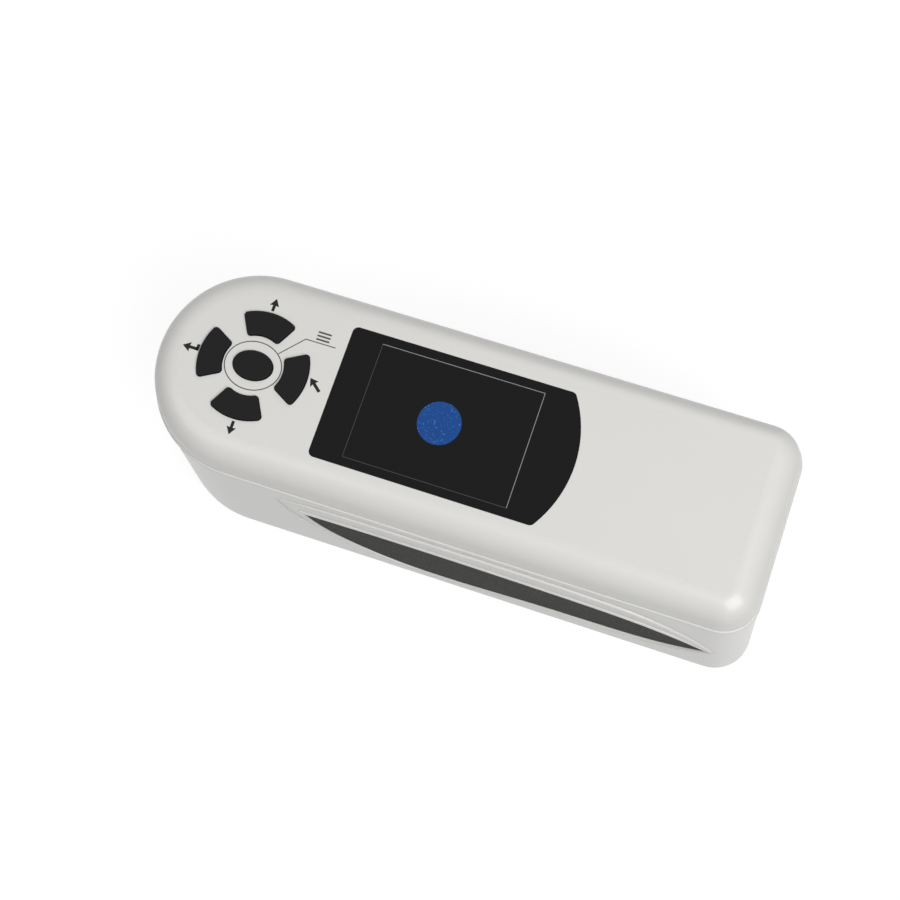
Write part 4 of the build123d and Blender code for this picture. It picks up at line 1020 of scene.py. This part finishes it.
@dataclass
class Studio:
    """Floor, lamps, world and the camera of the photograph."""

    camera_place: Vector = field(default_factory=lambda: Vector((0.08508, -0.12433, 0.60910)))
    camera_right: Vector = field(default_factory=lambda: Vector((0.94298, 0.32314, -0.07985)))
    camera_down: Vector = field(default_factory=lambda: Vector((0.29430, -0.92147, -0.25355)))
    camera_ahead: Vector = field(default_factory=lambda: Vector((-0.15551, 0.21560, -0.96402)))
    lens: float = 67.48
    sensor: float = 36.0
    nearest: float = 10 * MM
    farthest: float = 20.0
    floor_size: float = 6.0
    floor_color: Color = rgb(132, 132, 132)
    floor_glow: float = 0.84
    sky_light: float = 0.19
    lamp_target: Vector = field(default_factory=lambda: Vector((0.0, 0.0, 40 * MM)))
    lamps: tuple[Lamp, ...] = (
        Lamp("key_lamp", (0.72, -0.45, 1.05), 1.0, 12.8),
        Lamp("fill_lamp", (-0.65, -0.42, 1.1), 0.9, 3.6),
        Lamp("back_lamp", (0.1, 1.0, 0.85), 0.9, 3.3),
    )

    def camera(self) -> None:
        """Stands the camera where the photograph was taken from."""
        data = bpy.data.cameras.new("camera")
        data.lens = self.lens
        data.sensor_width = self.sensor
        data.clip_start = self.nearest
        data.clip_end = self.farthest
        camera = bpy.data.objects.new("camera", data)
        bpy.context.scene.collection.objects.link(camera)
        turn = Matrix((self.camera_right, -self.camera_down, -self.camera_ahead)).transposed()
        camera.matrix_world = Matrix.Translation(self.camera_place) @ turn.to_4x4()
        bpy.context.scene.camera = camera

    def seen(self, tree: bpy.types.NodeTree) -> bpy.types.NodeSocket:
        """Adds the sum of the rays that see the background: camera, glossy and transmitted ones.

        Args:
            tree: The node tree.

        Returns:
            A socket that is 1 for those rays and 0 for the others.
        """
        path = tree.nodes.new("ShaderNodeLightPath")
        first = tree.nodes.new("ShaderNodeMath")
        second = tree.nodes.new("ShaderNodeMath")
        for node in (first, second):
            node.operation = "ADD"
            node.use_clamp = True
        tree.links.new(path.outputs["Is Camera Ray"], first.inputs[0])
        tree.links.new(path.outputs["Is Glossy Ray"], first.inputs[1])
        tree.links.new(first.outputs["Value"], second.inputs[0])
        tree.links.new(path.outputs["Is Transmission Ray"], second.inputs[1])
        return second.outputs["Value"]

    def floor(self) -> None:
        """Lays the pale floor, which shows white but keeps the shadow."""
        mesh = bpy.data.meshes.new("floor")
        bm = bmesh.new()
        bmesh.ops.create_grid(bm, x_segments=1, y_segments=1, size=self.floor_size / 2)
        bm.to_mesh(mesh)
        bm.free()
        floor = bpy.data.objects.new("floor", mesh)
        bpy.context.scene.collection.objects.link(floor)
        finish = Finish("floor", self.floor_color, roughness=0.9, spread=0.02, cloud=0.0,
                        cloud_scale=10.0, grain=0.0, specular=0.0)
        material = finish.build()
        tree = material.node_tree
        glow = tree.nodes.new("ShaderNodeEmission")
        power = tree.nodes.new("ShaderNodeMapRange")
        power.inputs["To Max"].default_value = self.floor_glow
        tree.links.new(self.seen(tree), power.inputs["Value"])
        tree.links.new(power.outputs["Result"], glow.inputs["Strength"])
        both = tree.nodes.new("ShaderNodeAddShader")
        tree.links.new(tree.nodes["Principled BSDF"].outputs["BSDF"], both.inputs[0])
        tree.links.new(glow.outputs["Emission"], both.inputs[1])
        tree.links.new(both.outputs["Shader"], tree.nodes["Material Output"].inputs["Surface"])
        mesh.materials.append(material)

    def world(self) -> None:
        """Fills the surroundings: white to look at, dimmer as a light."""
        world = bpy.data.worlds.new("studio")
        bpy.context.scene.world = world
        world.use_nodes = True
        sky = world.node_tree.nodes["Background"]
        sky.inputs["Color"].default_value = (1.0, 1.0, 1.0, 1.0)
        power = world.node_tree.nodes.new("ShaderNodeMapRange")
        power.inputs["To Min"].default_value = self.sky_light
        power.inputs["To Max"].default_value = 1.0
        world.node_tree.links.new(self.seen(world.node_tree), power.inputs["Value"])
        world.node_tree.links.new(power.outputs["Result"], sky.inputs["Strength"])

    def build(self) -> None:
        """Builds the whole studio."""
        bpy.context.scene.view_settings.view_transform = "Standard"
        self.camera()
        self.floor()
        self.world()
        for lamp in self.lamps:
            lamp.hang(self.lamp_target)
        log.info("studio built")


def main() -> None:
    """Builds the looks and the studio in order."""
    logging.basicConfig(level=logging.INFO)
    palette = Palette()
    palette.dress_nodes()
    shop = Workshop(palette)
    for group in (SoftEdges(), KeyPad(shop), Prints(shop), ScreenPicture(shop), ShellTrim(shop),
                  RearDetails(shop)):
        group.build()
        log.info("%s built", type(group).__name__)
    Studio().build()


if __name__ == "__main__":
    main()
